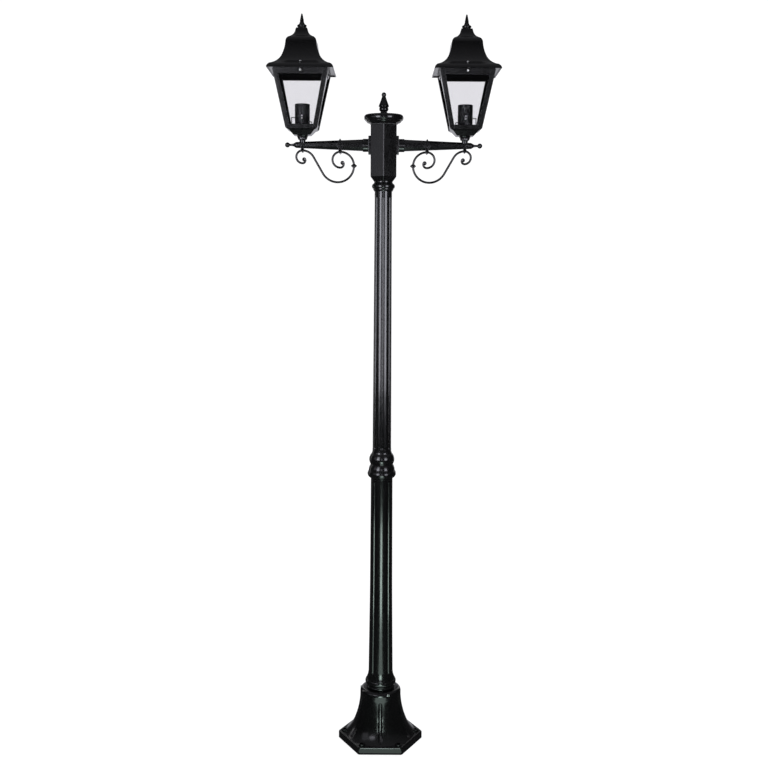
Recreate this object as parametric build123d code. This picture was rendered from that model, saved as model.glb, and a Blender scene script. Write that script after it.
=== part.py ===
from build123d import *
import os
from math import atan2, cos, degrees, radians, sin, sqrt

# Twin head post light. Millimetres. The origin is the middle of the base's underside on the ground,
# +Z runs up the post, and the arms lie along X. The front faces -Y.

# Clearances
FIT = 0.1          # radial play of a shank, spigot or sleeve in its hole
LIFT_GAP = 0.4     # play beside what lifts off with a roof
BAR_GAP = 0.15     # play of a clip round the scroll bar

# Base casting
PLINTH_CORNER_R = 137.0
PLINTH_H = 24.0
PLINTH_EDGE = 5.0
PLINTH_CORNER_ROUND = 8.0
BELL_FOOT_R = 113.0
BELL_WAIST_R = 86.5
BELL_WAIST_Z = 60.0
BELL_MID_R = 72.0
BELL_MID_Z = 105.0
BELL_TOP_R = 65.5
BELL_TOP_Z = 150.0
BASE_H = 178.0
BASE_ROUND = 14.0
BASE_WALL = 7.0
BASE_WEB = 26.0            # thickness of the web that carries the post
BASE_FLUTES = 6
BASE_FLUTE_R = 8.1
BASE_FLUTE_DEPTH = 4.0
BASE_FLUTE_TOP_Z = 140.0
ANCHOR_COUNT = 6
ANCHOR_CIRCLE_R = 117.0
ANCHOR_HOLE_D = 11.0
ANCHOR_PAD_D = 20.0
ANCHOR_PAD_EDGE = 1.2
ANCHOR_PAD_Z = 29.0
SET_SCREW_COUNT = 3
SET_SCREW_AZIMUTH = 22.8   # from the front towards +X
SET_SCREW_R = 3.0
SET_SCREW_HEAD_R = 4.4
SET_SCREW_HEAD_H = 3.5
SET_SCREW_DROP = 8.0       # below the base's top

# Post: collars, shafts, sleeves and the tie rod
SPIGOT_R = 38.0
SPIGOT_L = 22.0
LOWER_BORE_R = 28.0
UPPER_BORE_R = 22.0
FOOT_H = 30.0
FOOT_BEAD_R = 49.4
FOOT_NECK_R = 43.8
LOWER_SHAFT_L = 660.0
LOWER_FLARE_R = 45.3
LOWER_FLARE_H = 28.0
LOWER_BOTTOM_R = 38.9
LOWER_MID_R = 35.8
LOWER_TOP_R = 34.3
LOWER_FLUTES = 5
LOWER_COLLAR_H = 48.0
LOWER_COLLAR_R = 44.9
COLLAR_WAIST_R = 34.9
UPPER_COLLAR_H = 40.0
UPPER_COLLAR_R = 39.7
UPPER_SHAFT_L = 805.0
UPPER_BOTTOM_R = 29.6
UPPER_TOP_R = 26.6
UPPER_FLUTES = 8
FLUTE_R = 5.5
FLUTE_DEPTH = 2.9
NECK_H = 30.0
NECK_BEAD_R = 35.3
SLEEVE_WALL = 4.0
BASE_SLEEVE_L = 170.0
MID_SLEEVE_L = 90.0        # each way from the waist between the two collars
NECK_SLEEVE_L = 80.0
TIE_ROD_R = 6.0
TIE_WASHER_R = 36.0
TIE_WASHER_T = 4.0
TIE_NUT_AF = 18.0
TIE_NUT_H = 10.0

# Hub
HUB_APOTHEM = 39.0
HUB_WALL = 6.0
HUB_FLOOR = 12.0
HUB_FOOT_H = 14.0
HUB_FOOT_APOTHEM = 28.5
HUB_H = 167.5
GASKET_T = 1.5
CAP_R = 59.7
CAP_LOWER_R = 53.7
CAP_SEAT_R = 41.5
CAP_H = 32.0
CAP_SPIGOT_R = 30.0
CAP_SPIGOT_H = 8.0
FINIAL_H = 62.0
FINIAL_BEAD_R = 14.1
FINIAL_CONE_R = 15.5
FINIAL_BALL_R = 7.2
ROD_IN_FINIAL = 18.0
TERMINAL_W = 30.0
TERMINAL_D = 14.0
TERMINAL_H = 22.0
EARTH_STUD_R = 3.0
EARTH_STUD_H = 22.0

# Arms
ARM_DROP = 62.0            # arm axis below the underside of the cap's gasket
FLANGE_T = 7.0
FLANGE_W = 42.0
FLANGE_H = 55.0
SOCKET_R = 19.5
SOCKET_L = 17.0
ARM_ROOT_APOTHEM = 17.0
ARM_TIP_APOTHEM = 9.1
ARM_L = 195.0
ARM_SPIGOT_R = 12.0
ARM_BORE_R = 5.5
ARM_BOLT_R = 2.5
ARM_BOLT_SPACING = 42.0
ARM_BOLT_HEAD_R = 4.2
ARM_BOLT_HEAD_H = 3.5
ARM_FINIAL_NECK_R = 3.5
ARM_FINIAL_NECK_X = 19.0
ARM_FINIAL_BALL_R = 7.6
ARM_FINIAL_BALL_X = 32.5
ARM_FINIAL_STUD_R = 3.0
ARM_FINIAL_STUD_L = 8.0

# Scroll bar under each arm, its clips and its boss
BAR_R = 3.3
BAR_TOP_DROP = 16.0        # top of the small curl below the arm axis
SMALL_CURL_R = 19.0
SMALL_EYE_R = 8.5
SHOULDER_R = 38.0
SLOPE_ANGLE = 60.0
SLOPE_L = 56.3
BELLY_R = 52.5
SIDE_R = 49.0
CREST_R = 41.5
BIG_CURL_R = 23.5
BIG_EYE_R = 10.5
EYE_TURN = 120.0
EYE_BUTTON_R = 6.2
EYE_BUTTON_T = 8.0
CLIP_T = 2.2
CLIP_W = 9.0
CLIP_DIAMOND = 7.5         # half diagonal of the small diamond round the bar
ARM_CLIP_TIP = 19.0        # half height of the diamond on the arm
ARM_CLIP_HALF_W = 12.0
BOSS_HALF_W = 9.7
BOSS_HALF_H = 8.7
BOSS_T = 10.0

# Lantern
LANTERN_X = 245.0
STEM_NECK_R = 9.0
STEM_NECK_H = 6.4
STEM_CUP_R = 18.3
STEM_CUP_H = 12.0
STEM_SADDLE = 8.0          # how far the neck reaches down over the arm
NIPPLE_R = 5.0
NIPPLE_BORE_R = 3.2
NIPPLE_RISE = 20.0         # above the pan's underside
NIPPLE_NUT_AF = 16.0
NIPPLE_NUT_H = 7.0
PAN_FOOT_HALF = 25.3
PAN_TAPER_H = 14.0
PAN_TAPER_HALF = 38.0
PAN_STEP_H = 3.0
PAN_BAND_H = 13.0
PAN_LEDGE = 7.0            # the panes stand this far below the band's top
PAN_WELL_R = 21.0
PAN_WALL = 2.0
PILLAR_FOOT_HALF = 47.5
PILLAR_LEAN = 0.2065       # growth of the half width per millimetre of height
PILLAR_LEG = 14.0
PILLAR_T = 2.0
PILLAR_RISE = 2.0          # the pillars end this far above the band's underside
PILLAR_TOP_GAP = 3.0       # below the roof's brim
RAIL_H = 17.0
RAIL_WALL = 2.0
RAIL_FLANGE_T = 3.0
GLASS_H = 159.0
GLASS_T = 3.0
FRAME_H = 171.0            # from the pan band's underside to the roof's seat
ROOF_LIP = 3.0             # the brim's lip hangs this far below its seat
ROOF_BRIM_HALF = 97.8
ROOF_WAIST_HALF = 56.0
ROOF_WAIST_H = 38.6
ROOF_SHOULDER_HALF = 45.5
ROOF_SHOULDER_H = 80.0
ROOF_NECK_HALF = 19.4
ROOF_TOP_HALF = 16.5
ROOF_TOP_H = 123.0
ROOF_WALL = 3.5
ROOF_HOLLOW_HALF = 66.0
ROOF_RIM_T = 3.0           # locating rim inside the top rail
ROOF_RIM_H = 5.0
KNOB_R = 14.1
KNOB_H = 10.5
SPIRE_ROOT_R = 8.5
SPIRE_TIP_R = 2.2
SPIRE_H = 32.5
SPIRE_STUD_R = 3.0
TRIM_SCREW_R = 2.0
TRIM_SCREW_HEAD_R = 3.6
TRIM_SCREW_HEAD_H = 2.2
SCREW_SINK = 0.8           # depth of the spot face under a roof screw
ROOF_SCREW_L = 6.0
RAIL_SCREW_DROP = 7.0      # rail screw below the roof's seat
HOLDER_R = 22.5
HOLDER_H = 67.5
LAMP_BORE_R = 13.6
LAMP_BORE_DEPTH = 40.0
HOLDER_MOUTH_R = 18.5
HOLDER_MOUTH_H = 8.0
BRACKET_T = 1.5
BRACKET_W = 16.0
BRACKET_OUTER = 33.0
BRACKET_INNER = 29.0
BRACKET_OUTER_H = 30.5
BRACKET_INNER_H = 18.0
HOLDER_SCREW_R = 1.6
HOLDER_SCREW_HEAD_R = 2.6

# Heights of the seats, each from the piece below it
FOOT_Z = BASE_H
LOWER_SHAFT_Z = FOOT_Z + FOOT_H
LOWER_COLLAR_Z = LOWER_SHAFT_Z + LOWER_SHAFT_L
UPPER_COLLAR_Z = LOWER_COLLAR_Z + LOWER_COLLAR_H
UPPER_SHAFT_Z = UPPER_COLLAR_Z + UPPER_COLLAR_H
NECK_Z = UPPER_SHAFT_Z + UPPER_SHAFT_L
HUB_Z = NECK_Z + NECK_H
HUB_TOP_Z = HUB_Z + HUB_H
CAP_Z = HUB_TOP_Z + GASKET_T
FINIAL_Z = CAP_Z + CAP_H
ARM_Z = CAP_Z - ARM_DROP

# Places along an arm, from the post's axis
FLANGE_X = HUB_APOTHEM
SOCKET_X = FLANGE_X + FLANGE_T
ARM_X = SOCKET_X + SOCKET_L
ARM_END_X = ARM_X + ARM_L

# The lantern's seats
ARM_TAPER = (ARM_ROOT_APOTHEM - ARM_TIP_APOTHEM) / ARM_L
ARM_APOTHEM_AT_LANTERN = ARM_ROOT_APOTHEM - ARM_TAPER * (LANTERN_X - ARM_X)
STEM_Z = ARM_Z + ARM_APOTHEM_AT_LANTERN
PAN_Z = STEM_Z + STEM_NECK_H + STEM_CUP_H
BAND_Z = PAN_Z + PAN_TAPER_H + PAN_STEP_H
PAN_FLOOR_Z = BAND_Z + PAN_BAND_H - PAN_LEDGE
ROOF_Z = BAND_Z + FRAME_H
KNOB_Z = ROOF_Z + ROOF_TOP_H


def pillar_half(z):
    """Half width over the pillars' outer faces at the height z."""
    return PILLAR_FOOT_HALF + PILLAR_LEAN * (z - BAND_Z - PILLAR_RISE)


def turned(edges, z=0.0):
    """Solid of revolution about Z from a closed outline of edges drawn in X and Z."""
    return Pos(0, 0, z) * revolve(Plane.XZ * make_face(edges), Axis.Z)


def rod(radius, length, z=0.0):
    """Upright round bar whose lower end is at the height z."""
    return Pos(0, 0, z) * Cylinder(radius, length, align=(Align.CENTER, Align.CENTER, Align.MIN))


def tube(outer, inner, length, z=0.0):
    return rod(outer, length, z) - rod(inner, length, z)


def hex_prism(apothem, height, z=0.0, turn=0.0):
    outline = Plane.XY.offset(z) * RegularPolygon(apothem, 6, major_radius=False, rotation=turn)
    return extrude(outline, height)


def rod_x(radius, x0, x1, y=0.0, z=0.0):
    """Round bar along X between two places."""
    bar = Cylinder(radius, x1 - x0, align=(Align.CENTER, Align.CENTER, Align.MIN))
    return Pos(x0, y, z) * Rot(0, 90, 0) * bar


def rod_y(radius, y0, y1, x=0.0, z=0.0):
    """Round bar along Y between two places."""
    bar = Cylinder(radius, y1 - y0, align=(Align.CENTER, Align.CENTER, Align.MIN))
    return Pos(x, y0, z) * Rot(-90, 0, 0) * bar


def around(shape, count, start=0.0):
    """Copies of a shape about Z, evenly spaced."""
    return [Rot(0, 0, start + 360.0 * i / count) * shape for i in range(count)]


def square_block(half, height, z=0.0):
    return Pos(0, 0, z) * Box(2 * half, 2 * half, height, align=(Align.CENTER, Align.CENTER, Align.MIN))


def square_taper(levels):
    """Ruled solid through squares given as half width and height."""
    faces = [Plane.XY.offset(z) * Rectangle(2 * half, 2 * half) for half, z in levels]
    return loft(faces, ruled=True)


def square_bell(face, reach):
    """Square plan solid: one outline in X and Z, run along Y and along X, and the common part."""
    along_y = extrude(Plane.XZ * face, reach, both=True)
    return along_y & Rot(0, 0, 90) * along_y


def groove(points, radius):
    """Cutter of a long groove: a ball run along a line or an arc in the XZ plane."""
    path = Line(*points) if len(points) == 2 else ThreePointArc(*points)
    path = Plane.XZ * path
    section = Plane(origin=path @ 0, z_dir=path % 0) * Circle(radius)
    body = sweep(section, path=path)
    return body + Pos(path @ 0) * Sphere(radius) + Pos(path @ 1) * Sphere(radius)


# Base

def base_bell_edges():
    """The bell's outer outline from the foot up to the flat top ring."""
    top = ThreePointArc((BELL_TOP_R, BELL_TOP_Z), (BELL_MID_R, BELL_MID_Z), (BELL_WAIST_R, BELL_WAIST_Z))
    flare = TangentArc((BELL_WAIST_R, BELL_WAIST_Z), (BELL_FOOT_R, PLINTH_H), tangent=top % 1)
    shoulder_z = BASE_H - BASE_ROUND
    flat_r = BELL_TOP_R - BASE_ROUND
    wall = Line((BELL_TOP_R, BELL_TOP_Z), (BELL_TOP_R, shoulder_z))
    mid = BASE_ROUND * sqrt(0.5)
    shoulder = ThreePointArc((BELL_TOP_R, shoulder_z), (flat_r + mid, shoulder_z + mid), (flat_r, BASE_H))
    close = Polyline((flat_r, BASE_H), (0, BASE_H), (0, 0), (BELL_FOOT_R, 0), (BELL_FOOT_R, PLINTH_H))
    return [top, flare, wall, shoulder, close]


def base_flute():
    """Cutter that follows the bell and runs out of it above the plinth."""
    out = BASE_FLUTE_R - BASE_FLUTE_DEPTH
    waist = (BELL_WAIST_R + out, BELL_WAIST_Z + 0.4 * out)
    top = (BELL_TOP_R + out, BASE_FLUTE_TOP_Z)
    upper = groove([top, (BELL_MID_R + out, BELL_MID_Z), waist], BASE_FLUTE_R)
    foot = (BELL_FOOT_R + 0.5 * BASE_FLUTE_R, PLINTH_H + 1.2 * BASE_FLUTE_R)
    middle = (0.5 * (waist[0] + foot[0]) - 0.5 * out, 0.5 * (waist[1] + foot[1]) - 0.5 * out)
    return upper + groove([waist, middle, foot], BASE_FLUTE_R)


def set_screw_frame():
    """Place of the first set screw: its X runs outwards from the post's axis."""
    return Pos(0, 0, BASE_H - SET_SCREW_DROP) * Rot(0, 0, SET_SCREW_AZIMUTH - 90)


def base_casting():
    plinth = extrude(RegularPolygon(PLINTH_CORNER_R, 6), PLINTH_H)
    plinth = fillet(plinth.edges().filter_by(Axis.Z), PLINTH_CORNER_ROUND)
    plinth = fillet(plinth.faces().sort_by(Axis.Z)[-1].edges(), PLINTH_EDGE)
    pad = rod(ANCHOR_PAD_D / 2, ANCHOR_PAD_Z - PLINTH_H + PLINTH_EDGE, PLINTH_H - PLINTH_EDGE)
    pad = fillet(pad.edges().sort_by(Axis.Z)[-1:], ANCHOR_PAD_EDGE)
    body = plinth + around(Pos(ANCHOR_CIRCLE_R, 0, 0) * pad, ANCHOR_COUNT) + turned(base_bell_edges())
    body -= around(base_flute(), BASE_FLUTES, 30)
    web_z = BASE_H - BASE_WEB
    roof = ThreePointArc((BELL_TOP_R - BASE_WALL, web_z), (BELL_MID_R - BASE_WALL, BELL_MID_Z),
                         (BELL_WAIST_R - BASE_WALL, BELL_WAIST_Z))
    skirt_r = BELL_FOOT_R - 2 * BASE_WALL
    skirt = Polyline((BELL_WAIST_R - BASE_WALL, BELL_WAIST_Z), (skirt_r, PLINTH_H), (skirt_r, 0), (0, 0),
                     (0, web_z), (BELL_TOP_R - BASE_WALL, web_z))
    body -= turned([roof, skirt])
    body -= rod(SPIGOT_R + FIT, BASE_WEB, web_z)
    anchor = rod(ANCHOR_HOLE_D / 2, ANCHOR_PAD_Z)
    body -= around(Pos(ANCHOR_CIRCLE_R, 0, 0) * anchor, ANCHOR_COUNT)
    head_x = BELL_TOP_R - SET_SCREW_HEAD_H
    screw_hole = rod_x(SET_SCREW_R + FIT, 0, BELL_TOP_R)
    screw_hole += rod_x(SET_SCREW_HEAD_R + FIT, head_x, BELL_TOP_R + BASE_ROUND)
    body -= around(set_screw_frame() * screw_hole, SET_SCREW_COUNT)
    return body


def base_set_screws():
    head_x = BELL_TOP_R - SET_SCREW_HEAD_H
    shank = rod_x(SET_SCREW_R, SPIGOT_R + FIT, head_x)
    head = rod_x(SET_SCREW_HEAD_R, head_x, head_x + SET_SCREW_HEAD_H)
    head = chamfer(head.faces().sort_by(Axis.X)[-1].edges(), 0.8)
    key = Pos(head_x + SET_SCREW_HEAD_H, 0, 0) * Rot(0, 90, 0) * hex_prism(2.0, 4.0, -2.0)
    return around(set_screw_frame() * (shank + head - key), SET_SCREW_COUNT)


# Post

def foot_collar():
    """Turned collar between the base and the lower shaft, with a spigot in the base."""
    lip_r = FOOT_NECK_R + 2.5
    cove_r = LOWER_FLARE_R + 1.5
    edges = [
        Polyline((LOWER_BORE_R, FOOT_H), (LOWER_BORE_R, -SPIGOT_L), (SPIGOT_R, -SPIGOT_L), (SPIGOT_R, 0),
                 (FOOT_NECK_R, 0)),
        ThreePointArc((FOOT_NECK_R, 0), (lip_r, 3.5), (FOOT_NECK_R, 7)),
        Line((FOOT_NECK_R, 7), (FOOT_NECK_R, 9.5)),
        ThreePointArc((FOOT_NECK_R, 9.5), (FOOT_BEAD_R, 19), (cove_r, 27.5)),
        Polyline((cove_r, 27.5), (LOWER_FLARE_R, 27.5), (LOWER_FLARE_R, FOOT_H), (LOWER_BORE_R, FOOT_H)),
    ]
    return turned(edges, FOOT_Z)


def lower_shaft():
    top = (LOWER_TOP_R, LOWER_SHAFT_L)
    middle = (LOWER_MID_R, 0.45 * LOWER_SHAFT_L)
    start = (LOWER_BOTTOM_R, LOWER_FLARE_H)
    taper = ThreePointArc(start, middle, top)
    flare = TangentArc(start, (LOWER_FLARE_R, 0), tangent=(taper % 0) * -1)
    close = Polyline(top, (LOWER_BORE_R, LOWER_SHAFT_L), (LOWER_BORE_R, 0), (LOWER_FLARE_R, 0))
    out = FLUTE_R - FLUTE_DEPTH
    ends = [(start[0] + out, LOWER_FLARE_H - 2), (middle[0] + out, middle[1]), (top[0] + out, top[1] - 12)]
    shaft = turned([taper, flare, close]) - around(groove(ends, FLUTE_R), LOWER_FLUTES, 90)
    return Pos(0, 0, LOWER_SHAFT_Z) * shaft


def lower_collar():
    """Big bead and cove at the top of the lower shaft."""
    cove_z = 0.56 * LOWER_COLLAR_H
    cove_r = LOWER_COLLAR_R - 4.0
    edges = [
        Polyline((LOWER_BORE_R, LOWER_COLLAR_H), (LOWER_BORE_R, 0), (LOWER_TOP_R, 0), (LOWER_TOP_R, 4)),
        ThreePointArc((LOWER_TOP_R, 4), (LOWER_COLLAR_R, 18), (cove_r + 1.2, cove_z)),
        Line((cove_r + 1.2, cove_z), (cove_r, cove_z)),
        ThreePointArc((cove_r, cove_z), (cove_r - 1.6, 0.82 * LOWER_COLLAR_H),
                      (COLLAR_WAIST_R, LOWER_COLLAR_H)),
        Line((COLLAR_WAIST_R, LOWER_COLLAR_H), (LOWER_BORE_R, LOWER_COLLAR_H)),
    ]
    return turned(edges, LOWER_COLLAR_Z)


def upper_collar():
    """Smaller bead that seats the upper shaft."""
    lip_r = UPPER_BOTTOM_R + 0.8
    lip_z = 0.875 * UPPER_COLLAR_H
    edges = [
        Polyline((UPPER_BORE_R, UPPER_COLLAR_H), (UPPER_BORE_R, 0), (COLLAR_WAIST_R, 0)),
        ThreePointArc((COLLAR_WAIST_R, 0), (UPPER_COLLAR_R, 0.35 * UPPER_COLLAR_H), (lip_r + 1.4, lip_z)),
        Polyline((lip_r + 1.4, lip_z), (lip_r, UPPER_COLLAR_H), (UPPER_BORE_R, UPPER_COLLAR_H)),
    ]
    return turned(edges, UPPER_COLLAR_Z)


def upper_shaft():
    bottom = (UPPER_BOTTOM_R, 0)
    top = (UPPER_TOP_R, UPPER_SHAFT_L)
    edges = [Polyline(bottom, top, (UPPER_BORE_R, UPPER_SHAFT_L), (UPPER_BORE_R, 0), bottom)]
    out = FLUTE_R - FLUTE_DEPTH
    ends = [(bottom[0] + out, 14), (top[0] + out, UPPER_SHAFT_L - 20)]
    shaft = turned(edges) - around(groove(ends, FLUTE_R), UPPER_FLUTES, 90)
    return Pos(0, 0, UPPER_SHAFT_Z) * shaft


def neck_ring():
    """Turned ring under the hub: a small step, a bead and a cove."""
    low_r = UPPER_TOP_R + 1.0
    step_r = UPPER_TOP_R + 4.9
    edges = [
        Polyline((UPPER_BORE_R, NECK_H), (UPPER_BORE_R, 0), (low_r, 0)),
        ThreePointArc((low_r, 0), (step_r - 0.8, 5), (step_r, 9)),
        Line((step_r, 9), (step_r + 1.4, 9)),
        ThreePointArc((step_r + 1.4, 9), (NECK_BEAD_R, 16), (step_r - 0.6, 23)),
        ThreePointArc((step_r - 0.6, 23), (HUB_FOOT_APOTHEM + 0.4, 25), (HUB_FOOT_APOTHEM, NECK_H)),
        Line((HUB_FOOT_APOTHEM, NECK_H), (UPPER_BORE_R, NECK_H)),
    ]
    return turned(edges, NECK_Z)


def base_sleeve():
    outer = LOWER_BORE_R - FIT
    return tube(outer, outer - SLEEVE_WALL, BASE_SLEEVE_L, FOOT_Z - SPIGOT_L)


def mid_sleeve():
    """Stepped sleeve that joins the two shafts through the collars."""
    low = LOWER_BORE_R - FIT
    high = UPPER_BORE_R - FIT
    step = tube(low, high - SLEEVE_WALL, MID_SLEEVE_L, UPPER_COLLAR_Z - MID_SLEEVE_L)
    return step + tube(high, high - SLEEVE_WALL, MID_SLEEVE_L, UPPER_COLLAR_Z)


def neck_sleeve():
    outer = UPPER_BORE_R - FIT
    length = NECK_SLEEVE_L + NECK_H + HUB_FLOOR
    return tube(outer, outer - SLEEVE_WALL, length, NECK_Z - NECK_SLEEVE_L)


TIE_WASHER_Z = BASE_H - BASE_WEB - TIE_WASHER_T


def tie_rod():
    bottom = TIE_WASHER_Z - TIE_NUT_H - TIE_ROD_R
    return rod(TIE_ROD_R, FINIAL_Z + ROD_IN_FINIAL - bottom, bottom)


def tie_washer():
    """Wide washer under the web. It covers the spigot's socket and has a wire hole."""
    reach = SPIGOT_R + TIE_WASHER_T
    washer = rod(max(TIE_WASHER_R, reach), TIE_WASHER_T, TIE_WASHER_Z)
    wire_hole = Pos(0.5 * LOWER_BORE_R, 0, 0) * rod(TIE_ROD_R, TIE_WASHER_T, TIE_WASHER_Z)
    return washer - rod(TIE_ROD_R + FIT, TIE_WASHER_T, TIE_WASHER_Z) - wire_hole


def tie_nut():
    nut = hex_prism(TIE_NUT_AF / 2, TIE_NUT_H, TIE_WASHER_Z - TIE_NUT_H)
    return nut - rod(TIE_ROD_R + FIT, TIE_NUT_H, TIE_WASHER_Z - TIE_NUT_H)


# Hub

def arm_bolt_heights():
    return (ARM_Z - ARM_BOLT_SPACING / 2, ARM_Z + ARM_BOLT_SPACING / 2)


def hub_column():
    """Six-sided column with flats towards the arms."""
    foot_faces = [Plane.XY.offset(z) * RegularPolygon(half, 6, major_radius=False, rotation=30)
                  for half, z in ((HUB_FOOT_APOTHEM, HUB_Z), (HUB_APOTHEM, HUB_Z + HUB_FOOT_H))]
    body = loft(foot_faces, ruled=True)
    body += hex_prism(HUB_APOTHEM, HUB_H - HUB_FOOT_H, HUB_Z + HUB_FOOT_H, 30)
    body -= hex_prism(HUB_APOTHEM - HUB_WALL, HUB_H - HUB_FLOOR, HUB_Z + HUB_FLOOR, 30)
    body -= rod(UPPER_BORE_R, HUB_FLOOR, HUB_Z)
    body -= rod_x(ARM_BORE_R, -FLANGE_X, FLANGE_X, 0, ARM_Z)
    for z in arm_bolt_heights():
        body -= rod_x(ARM_BOLT_R + FIT, -FLANGE_X, FLANGE_X, 0, z)
    stud = rod(EARTH_STUD_R + FIT, EARTH_STUD_H, HUB_Z + HUB_FLOOR / 2)
    return body - Pos(0, earth_stud_y(), 0) * stud


def earth_stud_y():
    """The stud stands in the floor between the sleeve and the front corner."""
    return -0.5 * (UPPER_BORE_R + (HUB_APOTHEM - HUB_WALL) / cos(radians(30)))


def earth_stud():
    """Threaded stud with a nut, for the earth wire."""
    stud = rod(EARTH_STUD_R, EARTH_STUD_H, HUB_Z + HUB_FLOOR / 2)
    nut = hex_prism(1.7 * EARTH_STUD_R, 1.6 * EARTH_STUD_R, HUB_Z + HUB_FLOOR)
    return Pos(0, earth_stud_y(), 0) * (stud + nut)


def terminal_block():
    """Three-way block fixed flat on the inside of a rear wall of the hub."""
    block = Pos(HUB_APOTHEM - HUB_WALL - TERMINAL_D / 2, 0, ARM_Z - TERMINAL_H) * Box(
        TERMINAL_D, TERMINAL_W, TERMINAL_H)
    face_x = HUB_APOTHEM - HUB_WALL - TERMINAL_D
    for i in (-1, 0, 1):
        y = i * TERMINAL_W / 3.3
        block -= rod_x(2.2, face_x, face_x + TERMINAL_D / 2, y, ARM_Z - TERMINAL_H)
    return Rot(0, 0, 60) * block


def hub_gasket():
    ring = hex_prism(HUB_APOTHEM - 0.5, GASKET_T, HUB_TOP_Z, 30)
    return ring - rod(CAP_SPIGOT_R + FIT, GASKET_T, HUB_TOP_Z)


def hub_cap():
    """Round turned lid with a lower step, a bulging rim and a slightly domed top."""
    rim_z = 0.62 * CAP_H
    top_r = CAP_R - 5.0
    edges = [
        Polyline((0, CAP_H), (0, -CAP_SPIGOT_H), (CAP_SPIGOT_R, -CAP_SPIGOT_H), (CAP_SPIGOT_R, 0),
                 (CAP_SEAT_R, 0), (CAP_SEAT_R + 3.5, 3)),
        ThreePointArc((CAP_SEAT_R + 3.5, 3), (CAP_LOWER_R - 2.4, 5.6), (CAP_LOWER_R, 10)),
        Line((CAP_LOWER_R, 10), (CAP_LOWER_R + 1.6, 10)),
        ThreePointArc((CAP_LOWER_R + 1.6, 10), (CAP_R, rim_z), (top_r, 0.87 * CAP_H)),
        ThreePointArc((top_r, 0.87 * CAP_H), (0.5 * top_r, 0.93 * CAP_H), (FINIAL_CONE_R, 0.96 * CAP_H)),
        Polyline((FINIAL_CONE_R, 0.96 * CAP_H), (FINIAL_CONE_R, CAP_H), (0, CAP_H)),
    ]
    return turned(edges, CAP_Z) - rod(TIE_ROD_R + FIT, CAP_H + CAP_SPIGOT_H, CAP_Z - CAP_SPIGOT_H)


def hub_finial():
    """Turned finial that screws down on the tie rod and clamps the post together."""
    cone_z = 22.5
    ball_z = FINIAL_H - FINIAL_BALL_R
    neck_r = 5.4
    neck_z = ball_z - sqrt(FINIAL_BALL_R ** 2 - neck_r ** 2)
    stem_r = TIE_ROD_R + 3.5
    edges = [
        Polyline((0, FINIAL_H), (0, 0), (FINIAL_CONE_R - 1, 0)),
        ThreePointArc((FINIAL_CONE_R - 1, 0), (stem_r + 1.5, 2), (stem_r, 5.5)),
        ThreePointArc((stem_r, 5.5), (FINIAL_BEAD_R, 12), (stem_r + 3, 17)),
        Polyline((stem_r + 3, 17), (FINIAL_CONE_R, 20), (FINIAL_CONE_R, cone_z)),
        ThreePointArc((FINIAL_CONE_R, cone_z),
                      (0.5 * (FINIAL_CONE_R + neck_r) - 0.4, 0.5 * (cone_z + neck_z)), (neck_r, neck_z)),
        ThreePointArc((neck_r, neck_z), (FINIAL_BALL_R, ball_z), (0, FINIAL_H)),
    ]
    return turned(edges, FINIAL_Z) - rod(TIE_ROD_R + FIT, ROD_IN_FINIAL + FIT, FINIAL_Z)


# Arms, built on the +X side

def arm_flange():
    """Plate on the hub's flat with a round socket for the arm."""
    plate = Pos(FLANGE_X + FLANGE_T / 2, 0, ARM_Z) * Box(FLANGE_T, FLANGE_W, FLANGE_H)
    plate = fillet(plate.edges().filter_by(Axis.X), 6)
    body = plate + rod_x(SOCKET_R, SOCKET_X, ARM_X, 0, ARM_Z)
    body -= rod_x(ARM_SPIGOT_R + FIT, FLANGE_X, ARM_X, 0, ARM_Z)
    for z in arm_bolt_heights():
        body -= rod_x(ARM_BOLT_R + FIT, FLANGE_X, FLANGE_X + FLANGE_T, 0, z)
    return body


def arm_bolts():
    """Two bolts from inside the hub into the flange, with their heads on the inner wall."""
    inner = HUB_APOTHEM - HUB_WALL
    bolts = []
    for z in arm_bolt_heights():
        head = rod_x(ARM_BOLT_HEAD_R, inner - ARM_BOLT_HEAD_H, inner, 0, z)
        bolts.append(head + rod_x(ARM_BOLT_R, inner, FLANGE_X + FLANGE_T - 1, 0, z))
    return bolts


def octagon_at(x, apothem):
    plane = Plane(origin=(x, 0, ARM_Z), x_dir=(0, 1, 0), z_dir=(1, 0, 0))
    return plane * RegularPolygon(apothem, 8, major_radius=False, rotation=22.5)


def arm_taper(grow=0.0):
    """The arm's eight-sided taper, grown all round to cut a seat that fits it."""
    return loft([octagon_at(ARM_X, ARM_ROOT_APOTHEM + grow), octagon_at(ARM_END_X, ARM_TIP_APOTHEM + grow)],
                ruled=True)


def arm():
    body = arm_taper() + rod_x(ARM_SPIGOT_R, FLANGE_X, ARM_X, 0, ARM_Z)
    body -= rod_x(ARM_BORE_R, FLANGE_X, LANTERN_X, 0, ARM_Z)
    body -= Pos(LANTERN_X, 0, 0) * rod(NIPPLE_R + FIT, ARM_TIP_APOTHEM * 2, ARM_Z)
    return body - rod_x(ARM_FINIAL_STUD_R + FIT, ARM_END_X - ARM_FINIAL_STUD_L, ARM_END_X, 0, ARM_Z)


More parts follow.
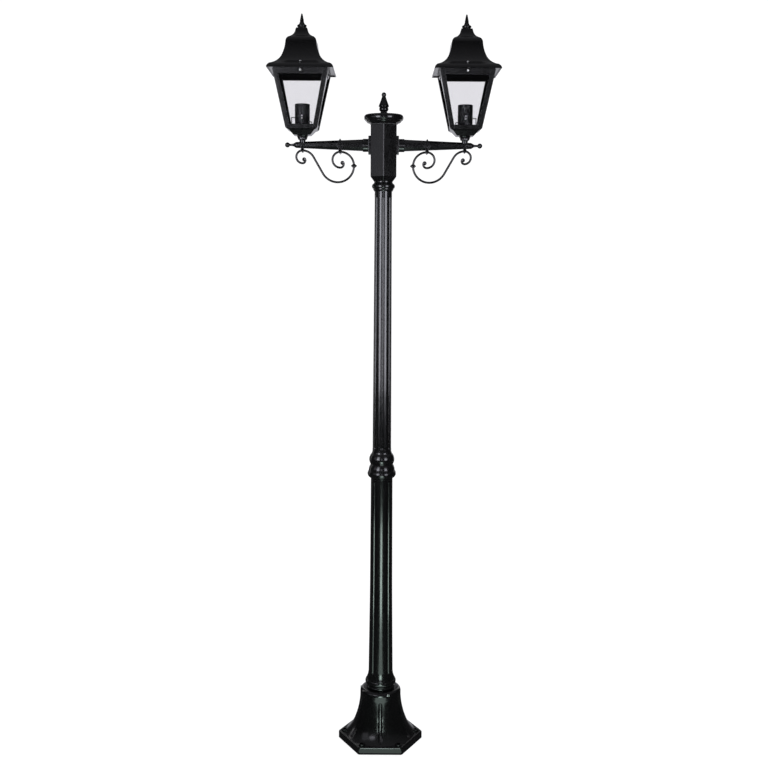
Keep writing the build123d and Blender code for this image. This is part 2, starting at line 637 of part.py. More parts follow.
def arm_finial():
    """Turned end piece: a shoulder, a thin neck and a ball."""
    shoulder = ARM_TIP_APOTHEM
    ball_start = ARM_FINIAL_BALL_X - sqrt(ARM_FINIAL_BALL_R ** 2 - ARM_FINIAL_NECK_R ** 2)
    end = ARM_FINIAL_BALL_X + ARM_FINIAL_BALL_R
    edges = [
        Polyline((0, end), (0, -ARM_FINIAL_STUD_L), (ARM_FINIAL_STUD_R, -ARM_FINIAL_STUD_L),
                 (ARM_FINIAL_STUD_R, 0), (shoulder, 0), (shoulder, 5)),
        ThreePointArc((shoulder, 5), (shoulder - 1.6, 9), (ARM_FINIAL_NECK_R + 1.4, 13)),
        ThreePointArc((ARM_FINIAL_NECK_R + 1.4, 13), (ARM_FINIAL_NECK_R, ARM_FINIAL_NECK_X),
                      (ARM_FINIAL_NECK_R, ball_start)),
        ThreePointArc((ARM_FINIAL_NECK_R, ball_start), (ARM_FINIAL_BALL_R, ARM_FINIAL_BALL_X), (0, end)),
    ]
    return Pos(ARM_END_X, 0, ARM_Z) * Rot(0, 90, 0) * turned(edges)


def scroll_path():
    """Centre line of the scroll bar in X and Z, drawn from the top of the small curl both ways."""
    top = (LANTERN_X, ARM_Z - BAR_TOP_DROP)
    small = JernArc(top, (1, 0), SMALL_CURL_R, -180)
    small_eye = JernArc(small @ 1, small % 1, SMALL_EYE_R, -EYE_TURN)
    pieces = [small, small_eye]
    end, heading = Vector(*top), Vector(-1, 0)
    slope = (SHOULDER_R, SLOPE_ANGLE), (0, SLOPE_L), (BELLY_R, -SLOPE_ANGLE)
    big = (SIDE_R, -90), (CREST_R, -90), (BIG_CURL_R, -180), (BIG_EYE_R, -EYE_TURN)
    for radius, turn in slope + big:
        piece = JernArc(end, heading, radius, turn) if radius else Line(end, end + heading * turn)
        pieces.append(piece)
        end, heading = piece @ 1, piece % 1
    return pieces


def swept_bar(radius):
    """Round bar along the scroll's centre line."""
    path = Plane.XZ * Wire(scroll_path())
    section = Plane(origin=path @ 0, z_dir=path % 0) * Circle(radius)
    return sweep(section, path=path)


def scroll():
    """The bar, with a round button closing each eye."""
    pieces = scroll_path()
    body = swept_bar(BAR_R)
    for eye in (pieces[1], pieces[-1]):
        inward = (eye.arc_center - eye @ 1).normalized()
        centre = eye @ 1 + inward * (EYE_BUTTON_R - BAR_R)
        button = rod_y(EYE_BUTTON_R, -EYE_BUTTON_T / 2, EYE_BUTTON_T / 2, centre.X, centre.Y)
        body += fillet(button.edges().filter_by(GeomType.CIRCLE), 1.5)
    return body


def scroll_crest_x():
    run = SHOULDER_R * sin(radians(SLOPE_ANGLE)) + SLOPE_L * cos(radians(SLOPE_ANGLE))
    run += BELLY_R * sin(radians(SLOPE_ANGLE)) + SIDE_R - CREST_R
    return LANTERN_X - run


def scroll_crest_z():
    drop = (SHOULDER_R + BELLY_R) * (1 - cos(radians(SLOPE_ANGLE))) + SLOPE_L * sin(radians(SLOPE_ANGLE))
    return ARM_Z - BAR_TOP_DROP - drop + SIDE_R + CREST_R


def diamond(half_w, half_h, x, z, depth):
    """Four-cornered plate standing in the XZ plane, centred on Y."""
    outline = Polyline((half_w, 0), (0, half_h), (-half_w, 0), (0, -half_h), close=True)
    return extrude(Plane(origin=(x, 0, z), x_dir=(1, 0, 0), z_dir=(0, -1, 0)) * make_face(outline),
                   depth / 2, both=True)


def saddle_clip(x, bar_z, half_w, half_h):
    """Two cheeks over an arm with a neck between them and a small diamond round the bar."""
    apothem = ARM_ROOT_APOTHEM - ARM_TAPER * (x - ARM_X)
    depth = 2 * (apothem + CLIP_T)
    neck_h = ARM_Z - bar_z
    neck = Pos(x, 0, ARM_Z - neck_h / 2) * Box(CLIP_W, depth, neck_h)
    body = diamond(half_w, half_h, x, ARM_Z, depth) + neck
    body += diamond(CLIP_DIAMOND, CLIP_DIAMOND, x, bar_z, depth)
    return body - arm_taper(FIT) - swept_bar(BAR_R + BAR_GAP)


def arm_clip():
    """Clip at the crest of the big curl: diamond cheeks over the arm."""
    x = scroll_crest_x()
    return saddle_clip(x, scroll_crest_z(), ARM_CLIP_HALF_W, ARM_CLIP_TIP)


def stem_clip():
    """Clip under the lantern: pointed cheeks over the arm and a diamond round the small curl's top."""
    clip = saddle_clip(LANTERN_X, ARM_Z - BAR_TOP_DROP, STEM_NECK_R, ARM_APOTHEM_AT_LANTERN)
    return clip - Pos(LANTERN_X, 0, 0) * rod(STEM_NECK_R + FIT, 2 * STEM_SADDLE, STEM_Z - STEM_SADDLE)


def scroll_boss():
    """Diamond boss on the side of the scroll nearest the post."""
    x = scroll_crest_x() - CREST_R
    z = scroll_crest_z() - CREST_R
    boss = chamfer(diamond(BOSS_HALF_W, BOSS_HALF_H, x, z, BOSS_T).faces().filter_by(Axis.Y).edges(), 2.0)
    return boss - swept_bar(BAR_R + BAR_GAP)


# Lantern, built about the Z axis and then moved out along the arm

def stem():
    """Turned cup and neck, cut to sit astride the arm."""
    top = STEM_NECK_H + STEM_CUP_H
    edges = [
        Polyline((0, top), (0, -STEM_SADDLE), (STEM_NECK_R, -STEM_SADDLE), (STEM_NECK_R, 2)),
        ThreePointArc((STEM_NECK_R, 2), (STEM_NECK_R + 1.2, STEM_NECK_H - 1.5),
                      (0.75 * STEM_CUP_R, STEM_NECK_H)),
        ThreePointArc((0.75 * STEM_CUP_R, STEM_NECK_H), (0.83 * STEM_CUP_R, STEM_NECK_H + 0.5 * STEM_CUP_H),
                      (STEM_CUP_R, top)),
        Line((STEM_CUP_R, top), (0, top)),
    ]
    body = turned(edges, STEM_Z) - rod(NIPPLE_R + FIT, top + STEM_SADDLE, STEM_Z - STEM_SADDLE)
    return body - Pos(-LANTERN_X, 0, 0) * arm_taper(FIT)


def nipple():
    """Threaded tube that ties the pan and the stem to the arm and carries the wires."""
    return tube(NIPPLE_R, NIPPLE_BORE_R, PAN_Z + NIPPLE_RISE - ARM_Z, ARM_Z)


def nipple_nut():
    z = PAN_Z + PAN_WALL * 2
    return hex_prism(NIPPLE_NUT_AF / 2, NIPPLE_NUT_H, z) - rod(NIPPLE_R + FIT, NIPPLE_NUT_H, z)


def band_half(z):
    """Half width over the pan's band and the top rail, just inside the pillars."""
    return pillar_half(z) - PILLAR_T - FIT


def pan():
    """Cast pan: a band, a ledge for the panes, a well for the nut and a tapered underside."""
    top = BAND_Z + PAN_BAND_H
    body = square_taper([(PAN_FOOT_HALF, PAN_Z), (PAN_TAPER_HALF, PAN_Z + PAN_TAPER_H),
                         (band_half(BAND_Z), BAND_Z), (band_half(top), top)])
    body -= square_taper([(band_half(PAN_FLOOR_Z) - PAN_WALL, PAN_FLOOR_Z), (band_half(top) - PAN_WALL, top)])
    body -= rod(PAN_WELL_R, PAN_FLOOR_Z - PAN_Z, PAN_Z + 2 * PAN_WALL)
    return body - rod(NIPPLE_R + FIT, 4 * PAN_WALL, PAN_Z)


def angle_section(z, leg):
    """L section of a corner pillar at the height z, with its corner outwards."""
    corner = pillar_half(z)
    inner = corner - PILLAR_T
    end = corner - leg
    points = [(corner, corner), (end, corner), (end, inner), (inner, inner), (inner, end), (corner, end)]
    return Plane.XY.offset(z) * make_face(Polyline(*points, close=True))


def corner_pillars():
    foot = BAND_Z + PILLAR_RISE
    top = ROOF_Z - PILLAR_TOP_GAP
    pillar = loft([angle_section(foot, PILLAR_LEG), angle_section(top, PILLAR_LEG)], ruled=True)
    return around(pillar, 4)


def glass_panes():
    """Four leaning panes that stand on the pan's ledge behind the band, the pillars and the rail."""
    levels = (PAN_FLOOR_Z, PAN_FLOOR_Z + GLASS_H)
    faces = []
    for z in levels:
        outer = band_half(z) - PAN_WALL - FIT
        wide = 2 * (outer - GLASS_T - FIT)
        faces.append(Pos(0, -outer + GLASS_T / 2, z) * Rectangle(wide, GLASS_T))
    return around(loft(faces, ruled=True), 4)


def top_rail():
    """Square ring that ties the pillars' tops together and carries the roof on its flange."""
    low = ROOF_Z - RAIL_H
    flange = ROOF_Z - RAIL_FLANGE_T
    body = square_taper([(band_half(low), low), (band_half(ROOF_Z), ROOF_Z)])
    body -= square_taper([(band_half(low) - RAIL_WALL, low), (band_half(flange) - RAIL_WALL, flange)])
    body -= square_block(ROOF_HOLLOW_HALF + LIFT_GAP, RAIL_FLANGE_T, flange)
    reach = pillar_half(ROOF_Z)
    return body - rod_y(TRIM_SCREW_R + FIT, -reach, reach, 0, ROOF_Z - RAIL_SCREW_DROP)


def trim_screw(y, z, length, tilt=0.0):
    """Dome head on a wall at the front, with a shank that runs inwards, tilted up by an angle."""
    head = rod(TRIM_SCREW_HEAD_R, TRIM_SCREW_HEAD_H)
    head = fillet(head.faces().sort_by(Axis.Z)[-1].edges(), 0.8 * TRIM_SCREW_HEAD_H)
    return Pos(0, y, z) * Rot(90 - tilt, 0, 0) * (head + rod(TRIM_SCREW_R, length, -length))


def rail_screws():
    z = ROOF_Z - RAIL_SCREW_DROP
    return around(trim_screw(-band_half(z + TRIM_SCREW_HEAD_R), z, RAIL_WALL), 2)


def roof_flare():
    """The flare between the brim and the roof's waist, which the roof screws sit on."""
    brim_top = (ROOF_BRIM_HALF - 9.8, 11.2)
    middle = (ROOF_WAIST_HALF + 12, 0.58 * ROOF_WAIST_H)
    return ThreePointArc(brim_top, middle, (ROOF_WAIST_HALF, ROOF_WAIST_H))


def roof_face():
    """Section through the roof, brim to top, before it is hollowed."""
    flare = roof_flare()
    brim = ROOF_BRIM_HALF
    shoulder = (ROOF_SHOULDER_HALF, ROOF_SHOULDER_H)
    slope = (ROOF_SHOULDER_HALF - 10.5, ROOF_SHOULDER_H + 15.3)
    neck = (ROOF_NECK_HALF, ROOF_TOP_H - 11)
    half = [
        Polyline((0, -ROOF_LIP), (brim, -ROOF_LIP), (brim, -ROOF_LIP + 2)),
        ThreePointArc((brim, -ROOF_LIP + 2), (brim - 3.2, 5.4), flare @ 0),
        flare,
        ThreePointArc(flare @ 1, (ROOF_SHOULDER_HALF + 4.2, ROOF_WAIST_H + 17.4), shoulder),
        ThreePointArc(shoulder, (ROOF_SHOULDER_HALF - 3.1, ROOF_SHOULDER_H + 9), slope),
        ThreePointArc(slope, (ROOF_NECK_HALF + 5.1, ROOF_TOP_H - 20), neck),
        Polyline(neck, (ROOF_TOP_HALF + 1, ROOF_TOP_H - 3.4), (ROOF_TOP_HALF, ROOF_TOP_H), (0, ROOF_TOP_H)),
    ]
    return make_face(half + [mirror(edge, Plane.YZ) for edge in half])


def roof_screw_seat():
    """Place of a roof screw on the flare and its tilt above the horizontal."""
    flare = roof_flare()
    seat = flare @ 0.42
    out = (flare.arc_center - seat).normalized()
    return seat, out, degrees(atan2(out.Y, out.X))


def roof():
    """Cast shell with a lip round the brim and a rim that locates it in the top rail."""
    face = roof_face()
    body = square_bell(face, ROOF_BRIM_HALF + ROOF_WALL)
    hollow = square_bell(offset(face, -ROOF_WALL), ROOF_BRIM_HALF)
    hollow &= square_block(ROOF_HOLLOW_HALF, ROOF_TOP_H)
    body -= hollow + square_block(ROOF_HOLLOW_HALF, ROOF_WALL + ROOF_RIM_H, -ROOF_RIM_H)
    body -= square_block(ROOF_BRIM_HALF - ROOF_WALL, ROOF_LIP, -ROOF_LIP)
    rim_half = ROOF_HOLLOW_HALF
    rim = square_block(rim_half, ROOF_RIM_H + ROOF_WALL, -ROOF_RIM_H)
    body += rim - square_block(rim_half - ROOF_RIM_T, ROOF_RIM_H + ROOF_WALL, -ROOF_RIM_H)
    body -= rod(SPIRE_STUD_R + FIT, ROOF_TOP_H)
    return Pos(0, 0, ROOF_Z) * (body - roof_screw_holes())


def roof_screw_holes():
    seat, out, tilt = roof_screw_seat()
    hole = rod(TRIM_SCREW_R + FIT, ROOF_SCREW_L + FIT, -ROOF_SCREW_L - FIT)
    hole += rod(TRIM_SCREW_HEAD_R + FIT, 3 * TRIM_SCREW_HEAD_H)
    return around(Pos(0, -seat.X, seat.Y) * Rot(90 - tilt, 0, 0) * Pos(0, 0, -SCREW_SINK) * hole, 2)


def roof_screws():
    seat, out, tilt = roof_screw_seat()
    seat -= out * SCREW_SINK
    return around(Pos(0, 0, ROOF_Z) * trim_screw(-seat.X, seat.Y, ROOF_SCREW_L, tilt), 2)


def roof_knob():
    """Turned knob with a waist, between the roof's top and the spire."""
    waist_r = KNOB_R - 1.8
    edges = [
        Polyline((0, KNOB_H), (0, 0), (waist_r, 0), (waist_r, 3.5)),
        ThreePointArc((waist_r, 3.5), (KNOB_R, 6.5), (KNOB_R - 0.4, 9.5)),
        Polyline((KNOB_R - 0.4, 9.5), (KNOB_R - 2.4, KNOB_H), (0, KNOB_H)),
    ]
    return turned(edges, KNOB_Z) - rod(SPIRE_STUD_R + FIT, KNOB_H, KNOB_Z)


def spire():
    stud = KNOB_H + ROOF_WALL
    tip_z = SPIRE_H - SPIRE_TIP_R
    edges = [
        Polyline((0, SPIRE_H), (0, -stud), (SPIRE_STUD_R, -stud), (SPIRE_STUD_R, 0), (SPIRE_ROOT_R + 2.2, 0)),
        ThreePointArc((SPIRE_ROOT_R + 2.2, 0), (SPIRE_ROOT_R - 1.5, 5.5), (0.68 * SPIRE_ROOT_R, 13)),
        Polyline((0.68 * SPIRE_ROOT_R, 13), (SPIRE_TIP_R, tip_z), (0.4 * SPIRE_TIP_R, SPIRE_H), (0, SPIRE_H)),
    ]
    return turned(edges, KNOB_Z + KNOB_H)


HOLDER_Z = PAN_FLOOR_Z + BRACKET_T


def lampholder():
    """Round holder with a screw-cap bore and a wider mouth."""
    body = rod(HOLDER_R, HOLDER_H, HOLDER_Z)
    body = fillet(body.edges().filter_by(GeomType.CIRCLE), 1.0)
    top = HOLDER_Z + HOLDER_H
    body -= rod(HOLDER_MOUTH_R, HOLDER_MOUTH_H, top - HOLDER_MOUTH_H)
    body -= rod(LAMP_BORE_R, HOLDER_MOUTH_H + LAMP_BORE_DEPTH, top - HOLDER_MOUTH_H - LAMP_BORE_DEPTH)
    body -= rod(NIPPLE_BORE_R, HOLDER_H, HOLDER_Z)
    return body - [place * rod(HOLDER_SCREW_R + FIT, 4.0, -4.0) for place in holder_screw_places()]


def holder_screw_places():
    """Two terminal screws on the front of the holder, one above the other."""
    middle = HOLDER_Z + 0.42 * HOLDER_H
    return [Pos(0, -HOLDER_R, z) * Rot(90, 0, 0) for z in (middle - 3.6, middle + 3.6)]


def holder_screws():
    head = chamfer(rod(HOLDER_SCREW_HEAD_R, 1.6).faces().sort_by(Axis.Z)[-1].edges(), 0.5)
    head = Pos(0, 0, FIT) * head
    return [place * (head + rod(HOLDER_SCREW_R, 4.0, -4.0 + FIT)) for place in holder_screw_places()]


def block(x0, x1, half_y, z0, z1):
    return Pos((x0 + x1) / 2, 0, (z0 + z1) / 2) * Box(x1 - x0, 2 * half_y, z1 - z0)


def holder_bracket():
    """Bent strap across the pan that clasps the holder from both sides."""
    floor = PAN_FLOOR_Z
    half = BRACKET_W / 2
    outer_top = floor + BRACKET_OUTER_H
    inner_top = floor + BRACKET_INNER_H
    body = block(-BRACKET_INNER, BRACKET_OUTER, half, floor, floor + BRACKET_T)
    body += block(BRACKET_OUTER - BRACKET_T, BRACKET_OUTER, half, floor, outer_top)
    body += block(0, BRACKET_OUTER, half, outer_top - BRACKET_T, outer_top)
    body += block(-BRACKET_INNER, -BRACKET_INNER + BRACKET_T, half, floor, inner_top)
    body += block(-BRACKET_INNER, 0, half, inner_top - BRACKET_T, inner_top)
    body -= rod(HOLDER_R + FIT, HOLDER_H, HOLDER_Z)
    return body - rod(NIPPLE_R, BRACKET_T, floor)


# Every node, with the pieces of both sides made on +X first

def both_sides(pieces):
    return list(pieces) + [mirror(piece, Plane.YZ) for piece in pieces]


nodes = {
    "base_casting": [base_casting()],
    "base_set_screws": base_set_screws(),
    "foot_collar": [foot_collar()],
    "lower_shaft": [lower_shaft()],
    "lower_collar": [lower_collar()],
    "upper_collar": [upper_collar()],
    "upper_shaft": [upper_shaft()],
    "neck_ring": [neck_ring()],
    "base_sleeve": [base_sleeve()],
    "mid_sleeve": [mid_sleeve()],
    "neck_sleeve": [neck_sleeve()],
    "tie_rod": [tie_rod()],
    "tie_washer": [tie_washer()],
    "tie_nut": [tie_nut()],
    "hub_column": [hub_column()],
    "earth_stud": [earth_stud()],
    "terminal_block": [terminal_block()],
    "hub_gasket": [hub_gasket()],
    "hub_cap": [hub_cap()],
    "hub_finial": [hub_finial()],
}

# The arms' own pieces look the same after half a turn, which puts them on the other side
for name, piece in (("arm_flange", arm_flange()), ("arm", arm()), ("arm_finial", arm_finial()),
                    ("scroll", scroll())):
    nodes["right_" + name] = [piece]
    nodes["left_" + name] = [Rot(0, 0, 180) * piece]

out_along_arm = Pos(LANTERN_X, 0, 0)
on_lantern = {
    "stem": stem(),
    "pan": pan(),
    "corner_pillars": corner_pillars(),
    "glass_panes": glass_panes(),
    "top_rail": top_rail(),
    "roof": roof(),
    "roof_screws": roof_screws(),
    "roof_knob": roof_knob(),
    "spire": spire(),
    "lampholder": lampholder(),
    "holder_bracket": holder_bracket(),
}
for name, made in on_lantern.items():
    pieces = [out_along_arm * piece for piece in (made if isinstance(made, list) else [made])]
    nodes["right_" + name] = pieces
    nodes["left_" + name] = [mirror(piece, Plane.YZ) for piece in pieces]

nodes["arm_bolts"] = both_sides(arm_bolts())
nodes["arm_clips"] = both_sides([arm_clip()])
nodes["stem_clips"] = both_sides([stem_clip()])
nodes["scroll_bosses"] = both_sides([scroll_boss()])
nodes["nipples"] = both_sides([out_along_arm * nipple()])
nodes["nipple_nuts"] = both_sides([out_along_arm * nipple_nut()])
nodes["rail_screws"] = both_sides([out_along_arm * screw for screw in rail_screws()])
nodes["holder_screws"] = both_sides([out_along_arm * screw for screw in holder_screws()])

os.makedirs("parts", exist_ok=True)
for name, pieces in nodes.items():
    solids = [solid for piece in pieces for solid in piece.solids()]
    export_step(Compound(children=solids), f"parts/{name}.step")
print(len(nodes), "nodes")
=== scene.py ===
"""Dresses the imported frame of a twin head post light: finer pieces, finishes, a pale studio and a camera."""

from math import atan2, ceil, cos, degrees, hypot, pi, radians, sin, sqrt, tan

import bmesh
import bpy
from mathutils import Matrix, Vector


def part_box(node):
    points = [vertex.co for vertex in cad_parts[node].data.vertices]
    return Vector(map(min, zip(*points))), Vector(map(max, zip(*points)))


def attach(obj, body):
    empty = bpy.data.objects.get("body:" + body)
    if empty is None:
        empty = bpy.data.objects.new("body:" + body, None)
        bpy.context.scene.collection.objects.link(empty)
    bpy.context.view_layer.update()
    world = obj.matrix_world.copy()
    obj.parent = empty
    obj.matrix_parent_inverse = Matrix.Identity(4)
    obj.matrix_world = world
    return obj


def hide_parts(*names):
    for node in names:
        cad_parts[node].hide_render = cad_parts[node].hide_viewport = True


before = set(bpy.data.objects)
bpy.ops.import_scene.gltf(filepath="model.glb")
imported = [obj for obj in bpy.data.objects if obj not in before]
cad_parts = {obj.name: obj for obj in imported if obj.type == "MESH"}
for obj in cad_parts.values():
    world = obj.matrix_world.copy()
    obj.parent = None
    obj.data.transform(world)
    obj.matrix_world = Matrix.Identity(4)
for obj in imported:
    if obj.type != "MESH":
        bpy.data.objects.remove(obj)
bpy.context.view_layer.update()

bl_info = {
    "name": "Twin Head Post Light",
    "version": (1, 0, 0),
    "blender": (4, 5, 0),
    "location": "View3D > Sidebar > Post Light",
    "description": "Cast post light with two square lanterns on scroll arms",
    "category": "Object",
}

MM = 0.001
BACK = pi / 2
WELD = 1e-6


def span(node):
    """Lowest and highest corner of a node, in millimetres."""
    low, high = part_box(node)
    return low / MM, high / MM


# Heights and places that the frame gives, in millimetres

LANTERN_X = 0.5 * (span("right_lampholder")[0].x + span("right_lampholder")[1].x)
ARM_Z = 0.5 * (span("right_arm")[0].z + span("right_arm")[1].z)
ARM_X0 = span("right_arm_flange")[1].x
ARM_X1 = span("right_arm")[1].x
PAN_Z = span("right_pan")[0].z
PAN_TOP = span("right_pan")[1].z
PILLAR_FOOT_Z = span("right_corner_pillars")[0].z
PILLAR_TOP_Z = span("right_corner_pillars")[1].z
HOLDER_Z = span("right_lampholder")[0].z
ROOF_Z = span("right_top_rail")[1].z
KNOB_Z = span("right_roof_knob")[0].z

# Sizes that several pieces share, in millimetres; the lean is how far out for each millimetre up

PILLAR_LEAN = 0.2065
PILLAR_FOOT_HALF = 47.5
BEHIND_PILLARS = 2.1
PANE_INSET = 4.2
PANE_SIDE_GAP = 3.1
PANE_THICKNESS = 3.0
KNOB_H = 10.5
ARM_ROOT = 17.0
ARM_TIP = 9.1
ARM_TAPER = (ARM_ROOT - ARM_TIP) / (ARM_X1 - ARM_X0)
BAR_R = 3.3


def pillar_half(z):
    """Half width over the pillars' outer faces at the height z."""
    return PILLAR_FOOT_HALF + PILLAR_LEAN * (z - PILLAR_FOOT_Z)


def frame_half(z):
    """Half width over the pan and the top rail, which stand just behind the pillars' outer faces."""
    return pillar_half(z) - BEHIND_PILLARS


def arm_apothem(x):
    """Distance from the arm's middle line to its flats at a place along X."""
    return ARM_ROOT - ARM_TAPER * (x - ARM_X0)


# Outlines, as lists of (radius, height)

def arc(start, middle, end, steps=10):
    """Points of the arc through three points, both ends included."""
    (ax, ay), (bx, by), (cx, cy) = start, middle, end
    d = 2 * (ax * (by - cy) + bx * (cy - ay) + cx * (ay - by))
    a2, b2, c2 = ax * ax + ay * ay, bx * bx + by * by, cx * cx + cy * cy
    ux = (a2 * (by - cy) + b2 * (cy - ay) + c2 * (ay - by)) / d
    uy = (a2 * (cx - bx) + b2 * (ax - cx) + c2 * (bx - ax)) / d
    radius = hypot(ax - ux, ay - uy)
    first = atan2(ay - uy, ax - ux)
    sweep = atan2(cy - uy, cx - ux) - first
    through = atan2(by - uy, bx - ux) - first
    if not 0 < through % (2 * pi) < sweep % (2 * pi):
        sweep = -((-sweep) % (2 * pi))
    else:
        sweep %= 2 * pi
    return [(ux + radius * cos(first + sweep * i / steps), uy + radius * sin(first + sweep * i / steps))
            for i in range(steps + 1)]


def profile(*stops):
    """Outline through its stops: points, and arcs given as (middle, end, steps) from the point before."""
    points = []
    for stop in stops:
        if len(stop) == 3:
            points += arc(points[-1], *stop)[1:]
        else:
            points.append(stop)
    return points


def lifted(outline, z):
    """The same outline at another height."""
    return [(r, h + z) for r, h in outline]


def evenly(low, high, count):
    """Ends and dividing points of a range cut into equal steps."""
    return [low + (high - low) * i / count for i in range(count + 1)]


# Mesh tools

def turned(outline, sides=96, turn=0.0, shape=None):
    """Outline spun about Z. Under a dozen sides it is a prism whose flats stand at the outline's radius."""
    bm = bmesh.new()
    corner = 1 / cos(pi / sides) if sides < 12 else 1.0
    points = [bm.verts.new((r * corner * MM, 0, z * MM)) for r, z in outline]
    edges = [bm.edges.new(pair) for pair in zip(points, points[1:])]
    bmesh.ops.spin(bm, geom=points + edges, cent=(0, 0, 0), axis=(0, 0, 1), angle=2 * pi,
                   steps=sides, use_merge=True)
    bmesh.ops.remove_doubles(bm, verts=bm.verts, dist=WELD)
    bmesh.ops.rotate(bm, verts=bm.verts, cent=(0, 0, 0), matrix=Matrix.Rotation(turn, 3, "Z"))
    if shape:
        for vert in bm.verts:
            reach = hypot(vert.co.x, vert.co.y)
            if reach > WELD:
                angle = atan2(vert.co.y, vert.co.x)
                vert.co.xy *= shape(reach / MM, vert.co.z / MM, angle) * MM / reach
    bmesh.ops.recalc_face_normals(bm, faces=bm.faces)
    return bm


def soften(bm, width, segments=2, limit=25):
    """Bevels every edge sharper than a limit in degrees."""
    sharp = [e for e in bm.edges if len(e.link_faces) == 2 and degrees(e.calc_face_angle(0)) > limit]
    bmesh.ops.bevel(bm, geom=sharp, offset=width * MM, segments=segments, profile=0.5,
                    affect="EDGES", clamp_overlap=True, material=-1)
    return bm


def block(x0, x1, y0, y1, z0, z1):
    """Box between two corners in millimetres."""
    bm = bmesh.new()
    bmesh.ops.create_cube(bm, size=1.0)
    bmesh.ops.scale(bm, verts=bm.verts, vec=((x1 - x0) * MM, (y1 - y0) * MM, (z1 - z0) * MM))
    middle = Vector((x0 + x1, y0 + y1, z0 + z1)) * 0.5 * MM
    bmesh.ops.translate(bm, verts=bm.verts, vec=middle)
    return bm


def drawn_out(bm, made, push):
    """Moves an extrusion's new points by a push in metres, and turns the faces outwards."""
    verts = [g for g in made["geom"] if isinstance(g, bmesh.types.BMVert)]
    bmesh.ops.translate(bm, verts=verts, vec=push)
    bmesh.ops.recalc_face_normals(bm, faces=bm.faces)
    return bm


def slab(corners, push):
    """Face through corners, drawn out along a push, both in millimetres."""
    bm = bmesh.new()
    face = bm.faces.new([bm.verts.new([c * MM for c in corner]) for corner in corners])
    made = bmesh.ops.extrude_face_region(bm, geom=[face])
    return drawn_out(bm, made, [p * MM for p in push])


def plate(corners, depth):
    """Plate from corners in X and Z, centred on Y."""
    return slab([(x, -depth / 2, z) for x, z in corners], (0, depth, 0))


def moved(bm, matrix):
    """Moves a mesh, and turns its faces round where the matrix mirrors it."""
    bmesh.ops.transform(bm, matrix=matrix, verts=bm.verts)
    if matrix.determinant() < 0:
        bmesh.ops.reverse_faces(bm, faces=bm.faces)
    return bm


def shift(x=0.0, y=0.0, z=0.0):
    """Matrix that moves by millimetres."""
    return Matrix.Translation(Vector((x, y, z)) * MM)


def swing(angle, axis):
    """Matrix that turns by degrees."""
    return Matrix.Rotation(radians(angle), 4, axis)


def mesh_data(bm, name):
    """Mesh data made from a bmesh, which is freed."""
    data = bpy.data.meshes.new(name)
    bm.to_mesh(data)
    bm.free()
    return data


def in_scene(name, data):
    """New object in the scene that holds some data."""
    obj = bpy.data.objects.new(name, data)
    bpy.context.scene.collection.objects.link(obj)
    return obj


def evaluated(obj):
    """New mesh data of an object as its bevel or its modifiers leave it."""
    bpy.context.view_layer.update()
    return bpy.data.meshes.new_from_object(obj.evaluated_get(bpy.context.evaluated_depsgraph_get()))


def joined(parts):
    """One mesh from several."""
    whole = bmesh.new()
    for part in parts:
        data = mesh_data(part, "part")
        whole.from_mesh(data)
        bpy.data.meshes.remove(data)
    return whole


def copies(make, places):
    """One mesh that holds a copy of a shape at each place."""
    return joined([moved(make(), place) for place in places])


def around(make, count):
    """One mesh that holds equally spaced copies of a shape about Z."""
    return copies(make, [swing(360 * i / count, "Z") for i in range(count)])


def piece(bm, name, body, slot, nodes=(), smooth=34):
    """Turns a mesh into an object in its slot's finish, which rides on a body and stands for its nodes.

    Edges sharper than smooth, in degrees, stay sharp in the shading.
    """
    for face in bm.faces:
        face.smooth = True
    for edge in bm.edges:
        edge.smooth = len(edge.link_faces) != 2 or degrees(edge.calc_face_angle(0)) < smooth
    data = mesh_data(bm, name)
    data.materials.append(finish(slot))
    obj = in_scene(name, data)
    obj.modifiers.new("flats", "WEIGHTED_NORMAL").keep_sharp = True
    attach(obj, body)
    if nodes:
        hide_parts(*nodes)
    return obj


def cut(obj, cutter):
    """Takes a closed mesh out of a piece for good."""
    tool = in_scene("cutter", mesh_data(cutter, "cutter"))
    flats = obj.modifiers["flats"]
    flats.show_viewport = False
    modifier = obj.modifiers.new("cut", "BOOLEAN")
    modifier.operation = "DIFFERENCE"
    modifier.solver = "EXACT"
    modifier.object = tool
    result = evaluated(obj)
    obj.modifiers.remove(modifier)
    flats.show_viewport = True
    spent = (obj.data, tool.data)
    obj.data = result
    result.name = obj.name
    bpy.data.objects.remove(tool)
    for data in spent:
        bpy.data.meshes.remove(data)


def side_places(out=True):
    """Each side's name, and the matrix that takes a mesh from +X to it; out moves it along the arm first."""
    mirrors = {"left": Matrix.Scale(-1, 4, (1, 0, 0)), "right": Matrix.Identity(4)}
    return [(side, mirror @ shift(LANTERN_X if out else 0)) for side, mirror in mirrors.items()]


# Finishes

def shader(name):
    """New node material, with its tree, its Principled shader and its Object coordinates."""
    material = bpy.data.materials.new(name)
    material.use_nodes = True
    tree = material.node_tree
    bsdf = tree.nodes["Principled BSDF"]
    coords = tree.nodes.new("ShaderNodeTexCoord")
    return material, tree, bsdf, coords.outputs["Object"]


def noise(tree, coords, scale, detail=3.0, stretch=(1, 1, 1)):
    """Noise texture's factor, in waves per metre."""
    mapping = tree.nodes.new("ShaderNodeMapping")
    mapping.inputs["Scale"].default_value = stretch
    tree.links.new(coords, mapping.inputs["Vector"])
    texture = tree.nodes.new("ShaderNodeTexNoise")
    texture.inputs["Scale"].default_value = scale
    texture.inputs["Detail"].default_value = detail
    tree.links.new(mapping.outputs["Vector"], texture.inputs["Vector"])
    return texture.outputs["Fac"]


